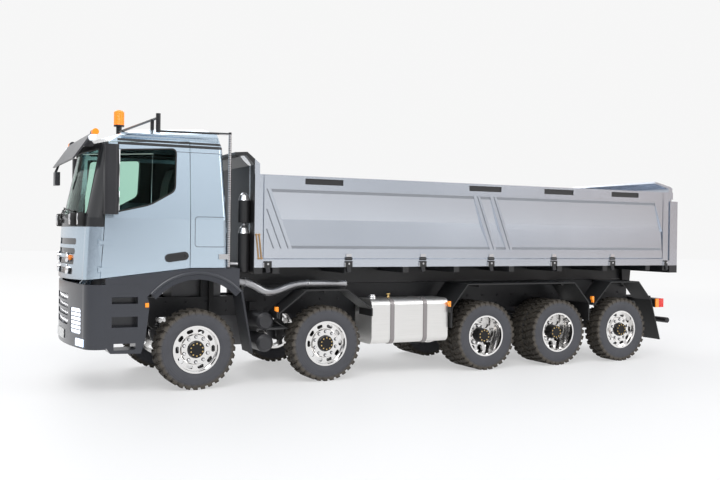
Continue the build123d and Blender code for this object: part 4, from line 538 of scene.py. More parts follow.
# Mudguards, bumper and steps: moulded plastic with a fine leather-like grain, fixed to the frame. The
# bumper, the steps and the front arches are graphite, the guards over the other axles black.
ARCH_REAR_X = (AXLE_1 - 43.0) * MM
FLAP_REAR_X = (AXLE_1 - 62.0) * MM
ARCH_INNER_Y = 0.058
graphite = painted("graphite", (0.026, 0.029, 0.038), 0.30, patch=0.08, coat=0.4, grain=1700.0, depth=0.02)
dress(graphite, "bumper_steps")
guards, shader, place = new_finish("guards")
x, y, _ = place.axes()
speckle = place.noise(1900.0, 3.0)
arch = (x > ARCH_REAR_X) * (abs(y) > ARCH_INNER_Y)
flap = x.between(FLAP_REAR_X, ARCH_REAR_X)
tone = arch * 0.75 + flap * 0.45 + speckle * 0.1
tone.tint((0.012, 0.012, 0.012), (0.030, 0.033, 0.043)).feed(shader, "Base Color")
(speckle * 0.15 + 0.45 - arch * 0.12).feed(shader, "Roughness")
speckle.bump(shader, 0.03, 0.5)
dress(guards, "mudguards")

# Arch panels: moulded graphite plates that close the space between the cab's lower edge and each front arch,
# with a rolled lip along the arch. They stand on the arch and the step box.
ARCH_Z = 54.0
ARCH_R = 61.0
ARCH_FLAT = 1.2
ARCH_IN_Y = 83.6
ARCH_OUT_Y = 86.2
FLANGE_Y = 66.0
PANEL_TURNS = (134.0, 38.5, 24)  # first and last angle on the arch, steps
PANEL_FRONT = [(56.0, 91.0), (87.0, 91.0)]  # place and height of its foot on the step box
PANEL_TOP = ((-43.0, 117.7), (7.0, 117.7), (87.0, 108.75))  # place, height along the cab's edge
LIP_TURNS = (136.5, 41.5, 40)
LIP_Y, LIP_SUNK, LIP_R = 85.6, 1.6, 2.0


def angles(first, last, steps):
    """The angles of an arc in even steps, given in degrees."""
    return [radians(first - (first - last) * step / steps) for step in range(steps + 1)]


arch_panels = bmesh.new()
arch_lips = bmesh.new()
for side in (1, -1):
    bottom = [(ARCH_R * cos(t), ARCH_Z + (ARCH_R - ARCH_FLAT) * sin(t)) for t in angles(*PANEL_TURNS)]
    rings = []
    for back, low in bottom + PANEL_FRONT:
        top = PANEL_TOP[0][1]
        for (first, first_z), (last, last_z) in zip(PANEL_TOP, PANEL_TOP[1:]):
            if first <= back <= last:
                top = first_z + (last_z - first_z) * (back - first) / (last - first)
        top = max(top, low + 0.6)
        section = (
            (ARCH_IN_Y, low), (ARCH_OUT_Y - 0.4, low), (ARCH_OUT_Y, low + 0.4), (ARCH_OUT_Y, top - 0.4),
            (ARCH_OUT_Y - 0.8, top), (FLANGE_Y, top), (FLANGE_Y, top - 0.5), (ARCH_IN_Y, top - 0.5),
        )
        rings.append([arch_panels.verts.new(spot(back, side * y, z)) for y, z in section])
    skin(arch_panels, rings)
    radius = ARCH_R - LIP_SUNK
    lip = [spot(radius * cos(t), side * LIP_Y, ARCH_Z + radius * sin(t)) for t in angles(*LIP_TURNS)]
    tube_along(arch_lips, lip, LIP_R, ACROSS, sides=12)
finish_piece("arch_panels", arch_panels, graphite, "chassis")
finish_piece("arch_lips", arch_lips, graphite, "chassis", angle=50.0)

# Bumper trim: slats over the fog lamps, a bright zig-zag mesh behind the bars of the middle opening, a bare
# plate and a lit strip low at each corner. All of it follows the bumper's bowed front.
BUMPER_NOSE = (114.0, 86.5, 24.0, 14.0)  # front, half width, length and width of the corner
NOSE_BOW = 9.0
SLAT_HEIGHTS = (60.0, 64.0, 68.0, 72.0, 76.0)
SLAT_HALF = 0.45
MESH_HEIGHTS = (62.6, 70.9, 78.2, 85.6)
MESH_RISE, MESH_HALF, MESH_STEPS = 5.6, 0.43, 30
MESH_SUNK = (-1.5, -1.85)


def nose_line(nose, share):
    """A point of a bowed front and the way it faces: share 0 is the middle, 1 and 2 the corner's ends."""
    front, half, corner_long, corner_wide = nose
    side = 1.0 if share >= 0 else -1.0
    bow_y = half - corner_wide
    if abs(share) <= 1:
        radius = (bow_y ** 2 + NOSE_BOW ** 2) / (2 * NOSE_BOW)
        y = abs(share) * bow_y
        ahead = (radius ** 2 - y ** 2) ** 0.5
        return front - radius + ahead, side * y, Vector((ahead, side * y, 0)).normalized()
    t = abs(share) - 1
    first = Vector((front - NOSE_BOW, bow_y))
    last = Vector((front - corner_long, half))
    middle = Vector((first.x - 0.28 * (corner_long - NOSE_BOW), half - 0.31 * corner_wide))
    pull = middle * 2 - (first + last) / 2
    place = first * (1 - t) ** 2 + pull * 2 * t * (1 - t) + last * t ** 2
    along = (pull - first) * (1 - t) + (last - pull) * t
    return place.x, side * place.y, Vector((along.y, -side * along.x, 0)).normalized()


def nose_strip(shape, nose, first, last, low, high, sunk, proud, steps):
    """A strip with rounded edges along a bowed front, between two shares of its width and two heights."""
    round_off = min(proud - sunk, high - low) * 0.3
    section = (
        (sunk, low), (proud - round_off, low), (proud, low + round_off), (proud, high - round_off),
        (proud - round_off, high), (sunk, high),
    )
    rings = []
    for step in range(steps + 1):
        back, y, facing = nose_line(nose, first + (last - first) * step / steps)
        rings.append([shape.verts.new(spot(back, y, z) + facing * out * MM) for out, z in section])
    skin(shape, rings)


slats = bmesh.new()
for side in (1, -1):
    for z in SLAT_HEIGHTS:
        low, high = z - SLAT_HALF, z + SLAT_HALF
        nose_strip(slats, BUMPER_NOSE, side * 0.54, side * 0.95, low, high, -2.4, 0.1, steps=8)
finish_piece("fog_lamp_slats", slats, graphite, "chassis")

mesh_wires = bmesh.new()
for low in MESH_HEIGHTS:
    for heights, sunk in zip(((low, low + MESH_RISE), (low + MESH_RISE, low)), MESH_SUNK):
        line = []
        for step in range(MESH_STEPS + 1):
            back, y, facing = nose_line(BUMPER_NOSE, MESH_HALF * (2 * step / MESH_STEPS - 1))
            line.append(spot(back, y, heights[step % 2]) + facing * sunk * MM)
        tube_along(mesh_wires, line, 0.3, AHEAD, sides=5)
finish_piece("grille_mesh", mesh_wires, chrome, "chassis", angle=60.0)

plate = bmesh.new()
block(plate, spot(114.3, 0.0, 52.0), (1.2, 38.0, 9.0), 0.4)
plate_white = painted("plate_white", (0.80, 0.80, 0.78), 0.35, patch=0.02, grain=1800.0)
finish_piece("blank_plate", plate, plate_white, "chassis")

low_lamps = bmesh.new()
for side in (1, -1):
    nose_strip(low_lamps, BUMPER_NOSE, side * 0.80, side * 1.16, 45.0, 52.0, -0.6, 0.8, steps=10)
lit_lens, shader, place = new_finish("lit_lens")
_, y, _ = place.axes()
ribs = (y * 2600.0).wave()
ribs.tint((0.70, 0.80, 0.95), (0.90, 0.95, 1.0)).feed(shader, "Base Color")
(abs(ribs) * 0.06 + 0.10).feed(shader, "Roughness")
ribs.tint((0.62, 0.76, 1.0), (0.85, 0.92, 1.0)).feed(shader, "Emission Color")
levels(shader, {"Emission Strength": 1.3})
ribs.bump(shader, 0.2, 0.4)
finish_piece("low_lamps", low_lamps, lit_lens, "chassis")

# Lamps on the chassis: lit fog lamps behind the slats, amber side markers, and tail lamps in black boxes
# with an amber front half and a red rear half. Clear moulded lenses with fine ribs.
FRONT_X = 0.33
TAIL_X = -0.33
TAIL_SPLIT_X = (AXLE_1 - 604.0) * MM
TAIL_END_X = (AXLE_1 - 611.4) * MM
HOUSING_Y = 0.0815
FOOT_TOP_Z = 0.0735
FOOT_FRONT_X = 0.30
UNLIT, FULLY_LIT = (0.0, 0.0, 0.0), (1.0, 1.0, 1.0)
lens, shader, place = new_finish("chassis_lenses")
x, y, z = place.axes()
front = x > FRONT_X
tail = x < TAIL_X
housing = tail * (abs(y) < HOUSING_Y) * (x > TAIL_END_X)
foot = (z < FOOT_TOP_Z) * (x < FOOT_FRONT_X) * (1.0 - tail)
dull = (housing + foot).capped()
amber_or_red = (x > TAIL_SPLIT_X).tint((0.60, 0.012, 0.008), (0.95, 0.26, 0.02))
marker = tail.tint((1.0, 0.30, 0.02), amber_or_red)
shown = front.tint(marker, (0.84, 0.90, 1.0))
dull.tint(shown, (0.016, 0.016, 0.017)).feed(shader, "Base Color")
ribs = (z * 5200.0).wave()
glow = ((ribs * 0.12 + 0.88) * (front * 0.78 + 0.22) * (1.0 - dull)).tint(UNLIT, FULLY_LIT)
blend = {"data_type": "RGBA", "blend_type": "MULTIPLY"}
place.node("Mix", blend, {0: 1.0, 6: shown, 7: glow}, out=2).feed(shader, "Emission Color")
levels(shader, {"Emission Strength": 1.5})
(abs(ribs) * 0.1 + 0.1 + dull * 0.3).feed(shader, "Roughness")
ribs.bump(shader, 0.15, 0.6)
dress(lens, "chassis_lamps")

# Cab shell and doors: pressed panels in a steel-blue metallic paint under clear lacquer. The windscreen's
# frame, the slots in the nose, the grips and the lining are black; a double band over the doors is painted
# shade, black where the drip-rail ledges cast their shadow. The seam of a hatch shows in the rear quarter.
# Painted shade: the two bands over the doors are black under the drip-rail ledges.
LEDGE_SHADE_X, LEDGE_SHADE_Y, LEDGE_SHADE_Z = (0.2300, 0.3330), 0.0735, (0.2340, 0.2400)
LEDGE_SHADE_GAP_Z = (0.2368, 0.2376)
PILLAR_FOOT_X, PILLAR_FOOT_Z, PILLAR_LEAN = (AXLE_1 + 88.4) * MM, 0.149, 0.0486
PILLAR_Z = (0.1565, 0.2464)
NOSE_FOOT_X, NOSE_FOOT_Z, NOSE_LEAN, NOSE_CURVE = (AXLE_1 + 115.0) * MM, 0.1, 0.046, 1.757
SLOTS_DEEP, SLOTS_X, SLOTS_Y, SLOTS_Z = 0.0007, 0.340, 0.0535, (0.1080, 0.1475)
GRIP_X, GRIP_Y, GRIP_Z, GRIP_LEAN = (AXLE_1 + 20.5) * MM, 0.08512, 0.1288, 0.14
GRIP_HALF_LONG, GRIP_HALF_HIGH = 0.0120, 0.0044
LINING_X, LINING_Y, LINING_TOP = (0.2345, 0.3350), 0.0800, 0.2300
HATCH_X, HATCH_Y, HATCH_Z = (AXLE_1 - 12.55) * MM, 0.08, 0.1531
HATCH_HALF_LONG, HATCH_HALF_HIGH, HATCH_CORNER = 0.01525, 0.0145, 0.003
SEAM_HALF = 0.00035
cab_paint, shader, place = new_finish("cab_paint")
x, y, z = place.axes()
flake = place.node("TexVoronoi", {}, {"Vector": place, "Scale": 2600.0})
shade = flake * 0.3 + place.noise(9.0, 3.0) * 0.4
paint = shade.tint((0.54, 0.66, 0.77), (0.66, 0.78, 0.88))
# Painted shade: two black bands under the drip-rail ledges, split by a thin gap.
ledge_shade = z.between(*LEDGE_SHADE_Z) * x.between(*LEDGE_SHADE_X) * (abs(y) > LEDGE_SHADE_Y)
ledge_shade_bands = ledge_shade * (1.0 - z.between(*LEDGE_SHADE_GAP_Z))
pillar_line = x - (PILLAR_FOOT_X - (z - PILLAR_FOOT_Z) * PILLAR_LEAN)
pillar = (pillar_line > 0.0) * z.between(*PILLAR_Z)
sunk = NOSE_FOOT_X - (z - NOSE_FOOT_Z) * NOSE_LEAN - y * y * NOSE_CURVE - x
slots = (sunk > SLOTS_DEEP) * (x > SLOTS_X) * z.between(*SLOTS_Z) * (abs(y) < SLOTS_Y)
grip_x = x - GRIP_X
grip_z = z - GRIP_Z + grip_x * GRIP_LEAN
grip = (abs(y) > GRIP_Y) * (abs(grip_x) < GRIP_HALF_LONG) * (abs(grip_z) < GRIP_HALF_HIGH)
lining = (abs(y) < LINING_Y) * (z < LINING_TOP) * x.between(*LINING_X)
corner_x = (abs(x - HATCH_X) - (HATCH_HALF_LONG - HATCH_CORNER)).at_least(0.0)
corner_z = (abs(z - HATCH_Z) - (HATCH_HALF_HIGH - HATCH_CORNER)).at_least(0.0)
from_edge = (corner_x * corner_x + corner_z * corner_z) ** 0.5 - HATCH_CORNER
hatch = (abs(from_edge) < SEAM_HALF) * (abs(y) > HATCH_Y)
# The black parts together with the painted shade under the ledges.
black_and_painted_shade = (ledge_shade_bands + pillar + slots + grip + lining + hatch * 0.75).capped()
black_and_painted_shade.tint(paint, (0.016, 0.017, 0.019)).feed(shader, "Base Color")
((1.0 - black_and_painted_shade) * 0.85).feed(shader, "Metallic")
(flake * 0.05 + 0.18 + black_and_painted_shade * 0.14).feed(shader, "Roughness")
levels(shader, {"Coat Weight": 0.4, "Coat Roughness": 0.05})
(hatch + flake * 0.01).bump(shader, 0.25, 0.8, invert=True)
dress(cab_paint, "cab_shell", "door_left", "door_right")

# Window rubbers: a black extruded seal round each door window and round the windscreen, pressed into the
# gap between glass and panel.
WINDOW = ((82.0, 169.5), (75.0, 229.0), (20.6, 232.5), (22.0, 192.0), (46.0, 178.0))  # place, height
SCREEN = ((-72.0, 168.0), (72.0, 168.0), (66.0, 230.0), (-66.0, 230.0))  # y, height
SEAL_R = 0.85
SCREEN_STEP = 8.0
WAIST_Z, UPPER_HIGH = 165.0, 71.0
SIDE_Y, SIDE_LEAN = 85.0, 5.5
FRONT_FOOT, FRONT_LEAN, FRONT_BOW_Y, FRONT_TAPER = 112.0, 15.0, 71.0, 2.5
seal_rubber = painted("seal_rubber", (0.012, 0.012, 0.012), 0.55, patch=0.1, grain=1500.0, depth=0.04)


def rounded(outline, corner, steps=5):
    """The outline's points with each corner turned into a short curve."""
    line = []
    for index, here in enumerate(outline):
        here = Vector(here)
        before = Vector(outline[index - 1])
        after = Vector(outline[(index + 1) % len(outline)])
        first = here + (before - here).normalized() * corner
        last = here + (after - here).normalized() * corner
        for step in range(steps + 1):
            t = step / steps
            line.append(first * (1 - t) ** 2 + here * 2 * t * (1 - t) + last * t ** 2)
    return line


def door_skin(z):
    """Half width of the cab's side at a height over the waist line."""
    return SIDE_Y - SIDE_LEAN * max(z - WAIST_Z, 0.0) / UPPER_HIGH


def screen_front(y, z):
    """Place of the cab's bowed front over the cowl."""
    rise = (z - WAIST_Z) / UPPER_HIGH
    bow_y = FRONT_BOW_Y - FRONT_TAPER * rise
    radius = (bow_y ** 2 + NOSE_BOW ** 2) / (2 * NOSE_BOW)
    return FRONT_FOOT - FRONT_LEAN * rise - radius + (radius ** 2 - y ** 2) ** 0.5


for side_name, side in SIDES:
    seal = bmesh.new()
    line = [spot(p.x, side * (door_skin(p.y) - 0.35), p.y) for p in rounded(WINDOW, 5.0)]
    tube_along(seal, line, SEAL_R, ACROSS, sides=8, closed=True)
    door = f"door_{side_name}"
    finish_piece(f"window_seal_{side_name}", seal, seal_rubber, door, angle=60.0)

screen_seal = bmesh.new()
corners = rounded(SCREEN, 6.0)
line = []
for index, here in enumerate(corners):
    after = corners[(index + 1) % len(corners)]
    pieces = max(1, int((after - here).length / SCREEN_STEP))
    for step in range(pieces):
        p = here + (after - here) * step / pieces
        line.append(spot(screen_front(p.x, p.y) - 0.4, p.x, p.y))
tube_along(screen_seal, line, SEAL_R, AHEAD, sides=8, closed=True)
finish_piece("screen_seal", screen_seal, seal_rubber, "cab", angle=60.0)

# Wipers: two black arms on pivots in the cowl, each with a blade parked along the foot of the windscreen.
# Bent steel and rubber, made as thin tubes that follow the bowed glass.
WIPERS = ((38.0, -14.0), (-12.0, -64.0))  # y of the pivot, y of the blade's far end
WIPER_STEPS = 8
ARM_Z, ARM_RISE = 163.0, 9.5
BLADE_Z, BLADE_RISE, BLADE_SHIFT = 171.4, 4.0, 2.0
wipers = bmesh.new()
for pivot_y, far_y in WIPERS:
    pivot = spot(screen_front(pivot_y, ARM_Z) - 0.6, pivot_y, ARM_Z - 1.0)
    rod(wipers, pivot, pivot + Vector((2.6 * MM, 0, 0)), 1.8, sides=16, edge=0.3)
    arm = []
    blade = []
    for step in range(WIPER_STEPS + 1):
        y = pivot_y + (far_y - pivot_y) * step / WIPER_STEPS
        z = ARM_Z + ARM_RISE * step / WIPER_STEPS
        arm.append(spot(screen_front(y, z) + 2.0, y, z))
        y -= BLADE_SHIFT
        z = BLADE_Z + BLADE_RISE * step / WIPER_STEPS
        blade.append(spot(screen_front(y, BLADE_Z + BLADE_RISE / 2) + 0.3, y, z))
    tube_along(wipers, arm, 0.7, AHEAD, sides=6)
    tube_along(wipers, blade, 0.8, AHEAD, sides=6)
    rod(wipers, arm[-2], blade[-2], 0.5, sides=8, edge=0.1)
finish_piece("wipers", wipers, seal_rubber, "cab", angle=60.0)

# Nose lamps and cowl lamps: round chromed lamps with amber ones beside them in the cab's nose, and two small
# black work lamps on the cowl under the windscreen, each with a bright glass.
CAB_NOSE = (114.2, 85.0, 22.6, 14.0)
nose_rims = bmesh.new()
nose_ambers = bmesh.new()
NOSE_LAMPS = (  # share of the nose's width, height, radius, shape, how far it stands out
    (0.42, 127.0, 4.6, nose_rims, 2.0),
    (0.42, 115.5, 4.6, nose_rims, 2.0),
    (0.55, 127.0, 2.6, nose_ambers, 1.8),
)
COWL_LAMPS_Y = (64.0, 44.0)
COWL_LAMPS_Z = 163.6
cowl_boxes = bmesh.new()
cowl_glasses = bmesh.new()
for side in (1, -1):
    for share, z, radius, shape, proud in NOSE_LAMPS:
        back, y, facing = nose_line(CAB_NOSE, side * share)
        foot = spot(back, y, z)
        rod(shape, foot - facing * 1.2 * MM, foot + facing * proud * MM, radius, sides=24, edge=0.7)
    for y in COWL_LAMPS_Y:
        back = screen_front(y, WAIST_Z)
        block(cowl_boxes, spot(back + 1.6, side * y, COWL_LAMPS_Z), (6.4, 11.0, 13.0), 1.2)
        block(cowl_glasses, spot(back + 4.9, side * y, COWL_LAMPS_Z), (0.9, 8.4, 10.0), 0.3)
finish_piece("nose_lamps", nose_rims, chrome, "cab")
nose_amber = painted("nose_amber", (0.95, 0.24, 0.015), 0.18, patch=0.04, grain=2200.0)
finish_piece("nose_markers", nose_ambers, nose_amber, "cab")
finish_piece("cowl_lamp_boxes", cowl_boxes, seal_rubber, "cab")
finish_piece("cowl_lamp_glasses", cowl_glasses, chrome, "cab")

# Cab lock: a bright zinc-plated stub out of the cab's left rear corner that rests against the bed's frame,
# with a hex nut at its foot.
LOCK_AT = (81.0, 122.0)  # y, height
zinc = painted("zinc", (0.55, 0.55, 0.56), 0.33, metallic=1.0, patch=0.08, grain=2200.0)
lock_stub = bmesh.new()
rod(lock_stub, spot(-30.0, *LOCK_AT), spot(-41.5, *LOCK_AT), 1.7, sides=18, edge=0.3)
rod(lock_stub, spot(-30.4, *LOCK_AT), spot(-33.4, *LOCK_AT), 2.8, sides=6, edge=0.3)
finish_piece("cab_lock_stub", lock_stub, zinc, "cab")

# Windows: green-tinted safety glass, clear and smooth, with a faint haze. Set in the door frames and the
# cab's front.
glass, shader, place = new_finish("tinted_glass")
haze = place.noise(14.0, 2.0)
haze.tint((0.60, 0.80, 0.72), (0.68, 0.86, 0.78)).feed(shader, "Base Color")
(haze * 0.03 + 0.01).feed(shader, "Roughness")
levels(shader, {"Transmission Weight": 1.0, "IOR": 1.1})
dress(glass, "windscreen", "door_glass_left", "door_glass_right")

# Cab interior: two hard seats, the dash and the steering wheel, moulded in black plastic with a fine grain
# and a stitched look pressed into the seats.
seat_plastic, shader, place = new_finish("seat_plastic")
_, y, _ = place.axes()
channels = (y * 900.0).wave() ** 8.0
speckle = place.noise(1800.0, 2.0)
shade = speckle * 0.6 + channels * 0.3
shade.tint((0.014, 0.014, 0.016), (0.050, 0.050, 0.055)).feed(shader, "Base Color")
(speckle * 0.2 + 0.5).feed(shader, "Roughness")
(speckle * 0.3 + channels).bump(shader, 0.15, 0.5)
dress(seat_plastic, "cab_interior")

# Sun visor: a grey metallic blade on two stays over the windscreen, with an amber lamp over a white one at
# each end. The lamps are lit a little.
VISOR_LAMP_Y, VISOR_RETURN_Y, VISOR_RETURN_X = 0.0702, 0.0641, 0.3535
AMBER_Z = 0.2422
visor_finish, shader, place = new_finish("visor_grey")
x, y, z = place.axes()
lamp_end = ((abs(y) > VISOR_LAMP_Y) + (abs(y) > VISOR_RETURN_Y) * (x < VISOR_RETURN_X)).capped()
lamp_tint = (z > AMBER_Z).tint((0.86, 0.90, 0.96), (1.0, 0.27, 0.02))
faint = place.noise(40.0, 3.0)
smoke = faint.tint((0.055, 0.055, 0.06), (0.08, 0.08, 0.088))
lamp_end.tint(smoke, lamp_tint).feed(shader, "Base Color")
lamp_end.tint(UNLIT, lamp_tint).feed(shader, "Emission Color")
(faint * 0.08 + 0.26).feed(shader, "Roughness")
levels(shader, {"Emission Strength": 0.55, "Metallic": 0.4})
dress(visor_finish, "sun_visor")

# Mirrors: tall black plastic housings on two arms at the door's front edge. Two silvered glasses, a tall one
# over a short one, lie in the rear face of each.
MIRROR_BACK, MIRROR_Y = 77.9, 95.0
MIRROR_GLASSES = ((210.0, 34.0), (180.5, 18.0))  # height of the middle, how tall
mirror_black = painted("mirror_black", (0.020, 0.020, 0.023), 0.38, patch=0.06, grain=2000.0)
mirror_silver = painted(
    "mirror_silver", (0.80, 0.82, 0.83), 0.08, metallic=1.0, patch=0.01, grain=2600.0, depth=0.002,
)
dress(mirror_black, "mirror_left", "mirror_right")
for side_name, side in SIDES:
    glasses = bmesh.new()
    for z, tall in MIRROR_GLASSES:
        block(glasses, spot(MIRROR_BACK, side * MIRROR_Y, z), (0.8, 8.6, tall), 0.35)
    finish_piece(f"mirror_glass_{side_name}", glasses, mirror_silver, f"door_{side_name}")

# Roof bar: a thin black tube on two feet with a lit amber beacon on its right end. The rod along the roof's
# edge is black too, and the pipe down the rear corner is bare steel.
DOME_Z, DOME_Y = 0.2698, -0.06
BARE_X, BARE_TOP = 0.2366, 0.2490
beacon_finish, shader, place = new_finish("beacon")
x, y, z = place.axes()
dome = (z > DOME_Z) * (y < DOME_Y)
bare = (x < BARE_X) * (z < BARE_TOP)
ribs = (z * 3600.0).wave()
tube_tint = bare.tint((0.02, 0.02, 0.022), (0.62, 0.62, 0.63))
dome.tint(tube_tint, (1.0, 0.24, 0.015)).feed(shader, "Base Color")
dome.tint(UNLIT, (1.0, 0.26, 0.015)).feed(shader, "Emission Color")
levels(shader, {"Emission Strength": 0.55})
bare.feed(shader, "Metallic")
(ribs * 0.05 + 0.25).feed(shader, "Roughness")
(ribs * dome).bump(shader, 0.2, 0.6)
dress(beacon_finish, "roof_bar")

# Lift cylinder: a black painted barrel on trunnions, and four chromed stages that slide out of it and push
# the bed up.
dress(bottle_black, "lift_barrel")
for stage in range(1, 5):
    dress(chrome, f"lift_stage_{stage}")

# Bed, side boards and tailgate: folded aluminium sheet in a silver metallic paint. The locks and the groove
# lines are dark. The sunk slots in the boards' top rail, the underside and the headboard's front behind the
# cab are near black: painted shade. The hinge plates and the tops of the bottles at the headboard are bright.
# Painted shade: the sunk slots, the underside and the headboard's front are near black where shade falls.
SHADED_SLOT_Y, SHADED_SLOT_Z = (0.0866, 0.0872), (0.2028, 0.2092)
UNDER_SHADE_Z = 0.1183
HEAD_SHADE_X = (AXLE_1 - 56.6) * MM
HINGE_Y, HINGE_Z, LOCKS_X = 0.0881, (0.1290, 0.1340), -0.3540
BOTTLE_X, BOTTLE_Y, BOTTLE_R2 = (AXLE_1 - 50.2) * MM, 0.074, 0.0000385
LOWER_TOP_Z, UPPER_TOP_Z = (0.1522, 0.1620), 0.1852
GROOVE_X, GROOVE_Y, GROOVE_Z = -0.3450, (0.0872, 0.0876), (0.1375, 0.1972)
bed_paint, shader, place = new_finish("bed_paint")
x, y, z = place.axes()
flake = place.node("TexVoronoi", {}, {"Vector": place, "Scale": 2400.0})
patches = place.noise(7.0, 4.0)
shade = flake * 0.3 + patches * 0.45
paint = shade.tint((0.58, 0.62, 0.68), (0.74, 0.78, 0.85))
# Painted shade in the sunk slots, under the bed and on the headboard's front in the gap behind the cab.
shaded_slots = abs(y).between(*SHADED_SLOT_Y) * z.between(*SHADED_SLOT_Z)
under_shade = z < UNDER_SHADE_Z
head_front_shade = x > HEAD_SHADE_X
locks = (abs(y) > HINGE_Y) * (z < HINGE_Z[0]) * (x > LOCKS_X)
bottle_x = x - BOTTLE_X
bottle_y = y - BOTTLE_Y
bottle = (bottle_x * bottle_x + bottle_y * bottle_y) < BOTTLE_R2
tops = bottle * (z.between(*LOWER_TOP_Z) + (z > UPPER_TOP_Z))
hinge_plates = (abs(y) > HINGE_Y) * z.between(*HINGE_Z)
grooves = abs(y).between(*GROOVE_Y) * z.between(*GROOVE_Z) * (x > GROOVE_X)
# The dark locks and groove lines together with the painted shade.
black_and_painted_shade = (shaded_slots + under_shade + head_front_shade + locks + grooves * 0.6).capped() * (1.0 - tops)
bright = (tops + hinge_plates).capped()
coloured = black_and_painted_shade.tint(paint, (0.014, 0.014, 0.015))
bright.tint(coloured, (0.74, 0.74, 0.75)).feed(shader, "Base Color")
((1.0 - black_and_painted_shade) * 0.9).feed(shader, "Metallic")
(flake * 0.05 + patches * 0.05 + 0.16 + black_and_painted_shade * 0.2).feed(shader, "Roughness")
levels(shader, {"Coat Weight": 0.2, "Coat Roughness": 0.08})
(flake * 0.4 + patches * 0.2).bump(shader, 0.012, 0.4)
dress(bed_paint, "bed_body", "side_board_left", "side_board_right", "tailgate")

# Board locks: a black lever with a bright zinc tongue under each hinge of the side boards, screwed to the
# floor's edge.
LOCK_FIRST, LOCK_PITCH, LOCK_COUNT = -70.6, 89.9, 7
LOCK_Y = 88.6
levers = bmesh.new()
tongues = bmesh.new()
lock_turn = Matrix.Rotation(radians(12.0), 3, "Y")
for side in (1, -1):
    for step in range(LOCK_COUNT):
        back = LOCK_FIRST - LOCK_PITCH * step
        block(levers, spot(back, side * LOCK_Y, 116.6), (4.6, 2.2, 7.0), 0.5, lock_turn)
        block(tongues, spot(back + 3.6, side * LOCK_Y, 120.6), (2.4, 1.8, 4.6), 0.4)
        rod(tongues, spot(back, side * 89.4, 121.8), spot(back, side * 90.2, 121.8), 1.2, sides=6, edge=0.2)
finish_piece("lock_levers", levers, mirror_black, "bed")
finish_piece("lock_tongues", tongues, zinc, "bed")

# Corner struts: two bronze rods down the outer face of each front corner post, each held in a small eye at
# both ends.
STRUT_TOP, STRUT_FOOT = (-58.4, 151.0), (-61.0, 127.5)  # place, height
STRUT_Y, STRUT_SHIFT, EYE_HALF = 88.5, 3.0, 0.9
bronze = painted("bronze", (0.42, 0.27, 0.14), 0.3, metallic=1.0, patch=0.1, grain=1800.0)
struts = bmesh.new()
for side in (1, -1):
    for shift in (0.0, STRUT_SHIFT):
        top, foot = [spot(back - shift, side * STRUT_Y, z) for back, z in (STRUT_TOP, STRUT_FOOT)]
        rod(struts, foot, top, 0.75, sides=12, edge=0.15)
        eye = Vector((0, side * EYE_HALF * MM, 0))
        for end in (top, foot):
            rod(struts, end - eye, end + eye, 1.2, sides=14, edge=0.2)
finish_piece("corner_struts", struts, bronze, "bed")

# Table top: a wide pale disc under the wheels, faintly mottled. To the camera it fades into the backdrop with
# the distance; in mirror images it glows as a painted pool of white light near the truck, dimmer far off.
TABLE_R = 6.0
# Middle of the painted pool of light, and the zone where it fades, in metres.
PAINTED_POOL_MIDDLE = (0.7, 0.6)
PAINTED_POOL_EDGE = (1.9, 2.5)
FADE_ZONE = (0.5, 2.2)
floor_shape = bmesh.new()
bmesh.ops.create_circle(floor_shape, cap_ends=True, segments=96, radius=TABLE_R)
floor_mesh = bpy.data.meshes.new("table_top")
floor_shape.to_mesh(floor_mesh)
floor_shape.free()
table_top = bpy.data.objects.new("table_top", floor_mesh)
scene.collection.objects.link(table_top)
table_top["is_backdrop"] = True
pale, shader, place = new_finish("pale_table")
place.noise(3.0, 3.0).tint((0.88, 0.88, 0.88), (0.91, 0.91, 0.91)).feed(shader, "Base Color")
levels(shader, {"Roughness": 0.5})
floor_tree = pale.node_tree
floor_rays = floor_tree.nodes.new("ShaderNodeLightPath").outputs
floor_glossy = Wire(floor_rays["Is Glossy Ray"])
floor_seen = Wire(floor_rays["Is Camera Ray"]) + Wire(floor_rays["Is Transmission Ray"])
x, y, _ = place.axes()
# Painted pool of light: mirror rays see the table glow white near its middle and dim warm grey beyond.
pool_x, pool_y = x - PAINTED_POOL_MIDDLE[0], y - PAINTED_POOL_MIDDLE[1]
beyond_painted_pool = ((pool_x * pool_x + pool_y * pool_y) ** 0.5).ease(*PAINTED_POOL_EDGE) * floor_glossy
tone = beyond_painted_pool.tint(FULLY_LIT, (0.58, 0.52, 0.49))
white = place.node("Emission", {}, {"Color": tone, "Strength": 1.0})
far = ((x * x + y * y) ** 0.5).ease(*FADE_ZONE)
shown = (floor_seen.capped() * (far * 0.42 + 0.46) + floor_glossy * 0.62 + beyond_painted_pool * 0.38).capped()
table = place.node("MixShader", {}, {0: shown, 1: Wire(shader.outputs[0]), 2: white})
floor_tree.links.new(table.socket, floor_tree.nodes["Material Output"].inputs["Surface"])
floor_mesh.materials.append(pale)

# World: a pale backdrop for the camera and soft light for the rest. Mirror rays see a made-up room instead,
# by direction: dim ahead, bright abreast, grey and then warm to the rear, a darker band and a light sky.
world = bpy.data.worlds.new("studio")
scene.world = world
world.use_nodes = True
tree = world.node_tree
tree.nodes["Background"].inputs["Color"].default_value = (0.93, 0.95, 1.0, 1.0)
tree.nodes["Background"].inputs["Strength"].default_value = 0.6
rays = tree.nodes.new("ShaderNodeLightPath").outputs
toward = Wire(tree.nodes.new("ShaderNodeTexCoord").outputs["Generated"])
ahead, aside, above = toward.axes()
window = ahead.ease(-0.15, -0.29)
past = ahead.ease(-0.32, -0.46)
corner = ahead.ease(-0.50, -0.74)
beside = aside.ease(0.0, -0.3)
band = above.ease(0.02, 0.10)
sky = above.ease(0.13, 0.26)
room = window.at_least(beside * 0.7).tint((0.18, 0.19, 0.215), (1.04, 1.05, 1.06))
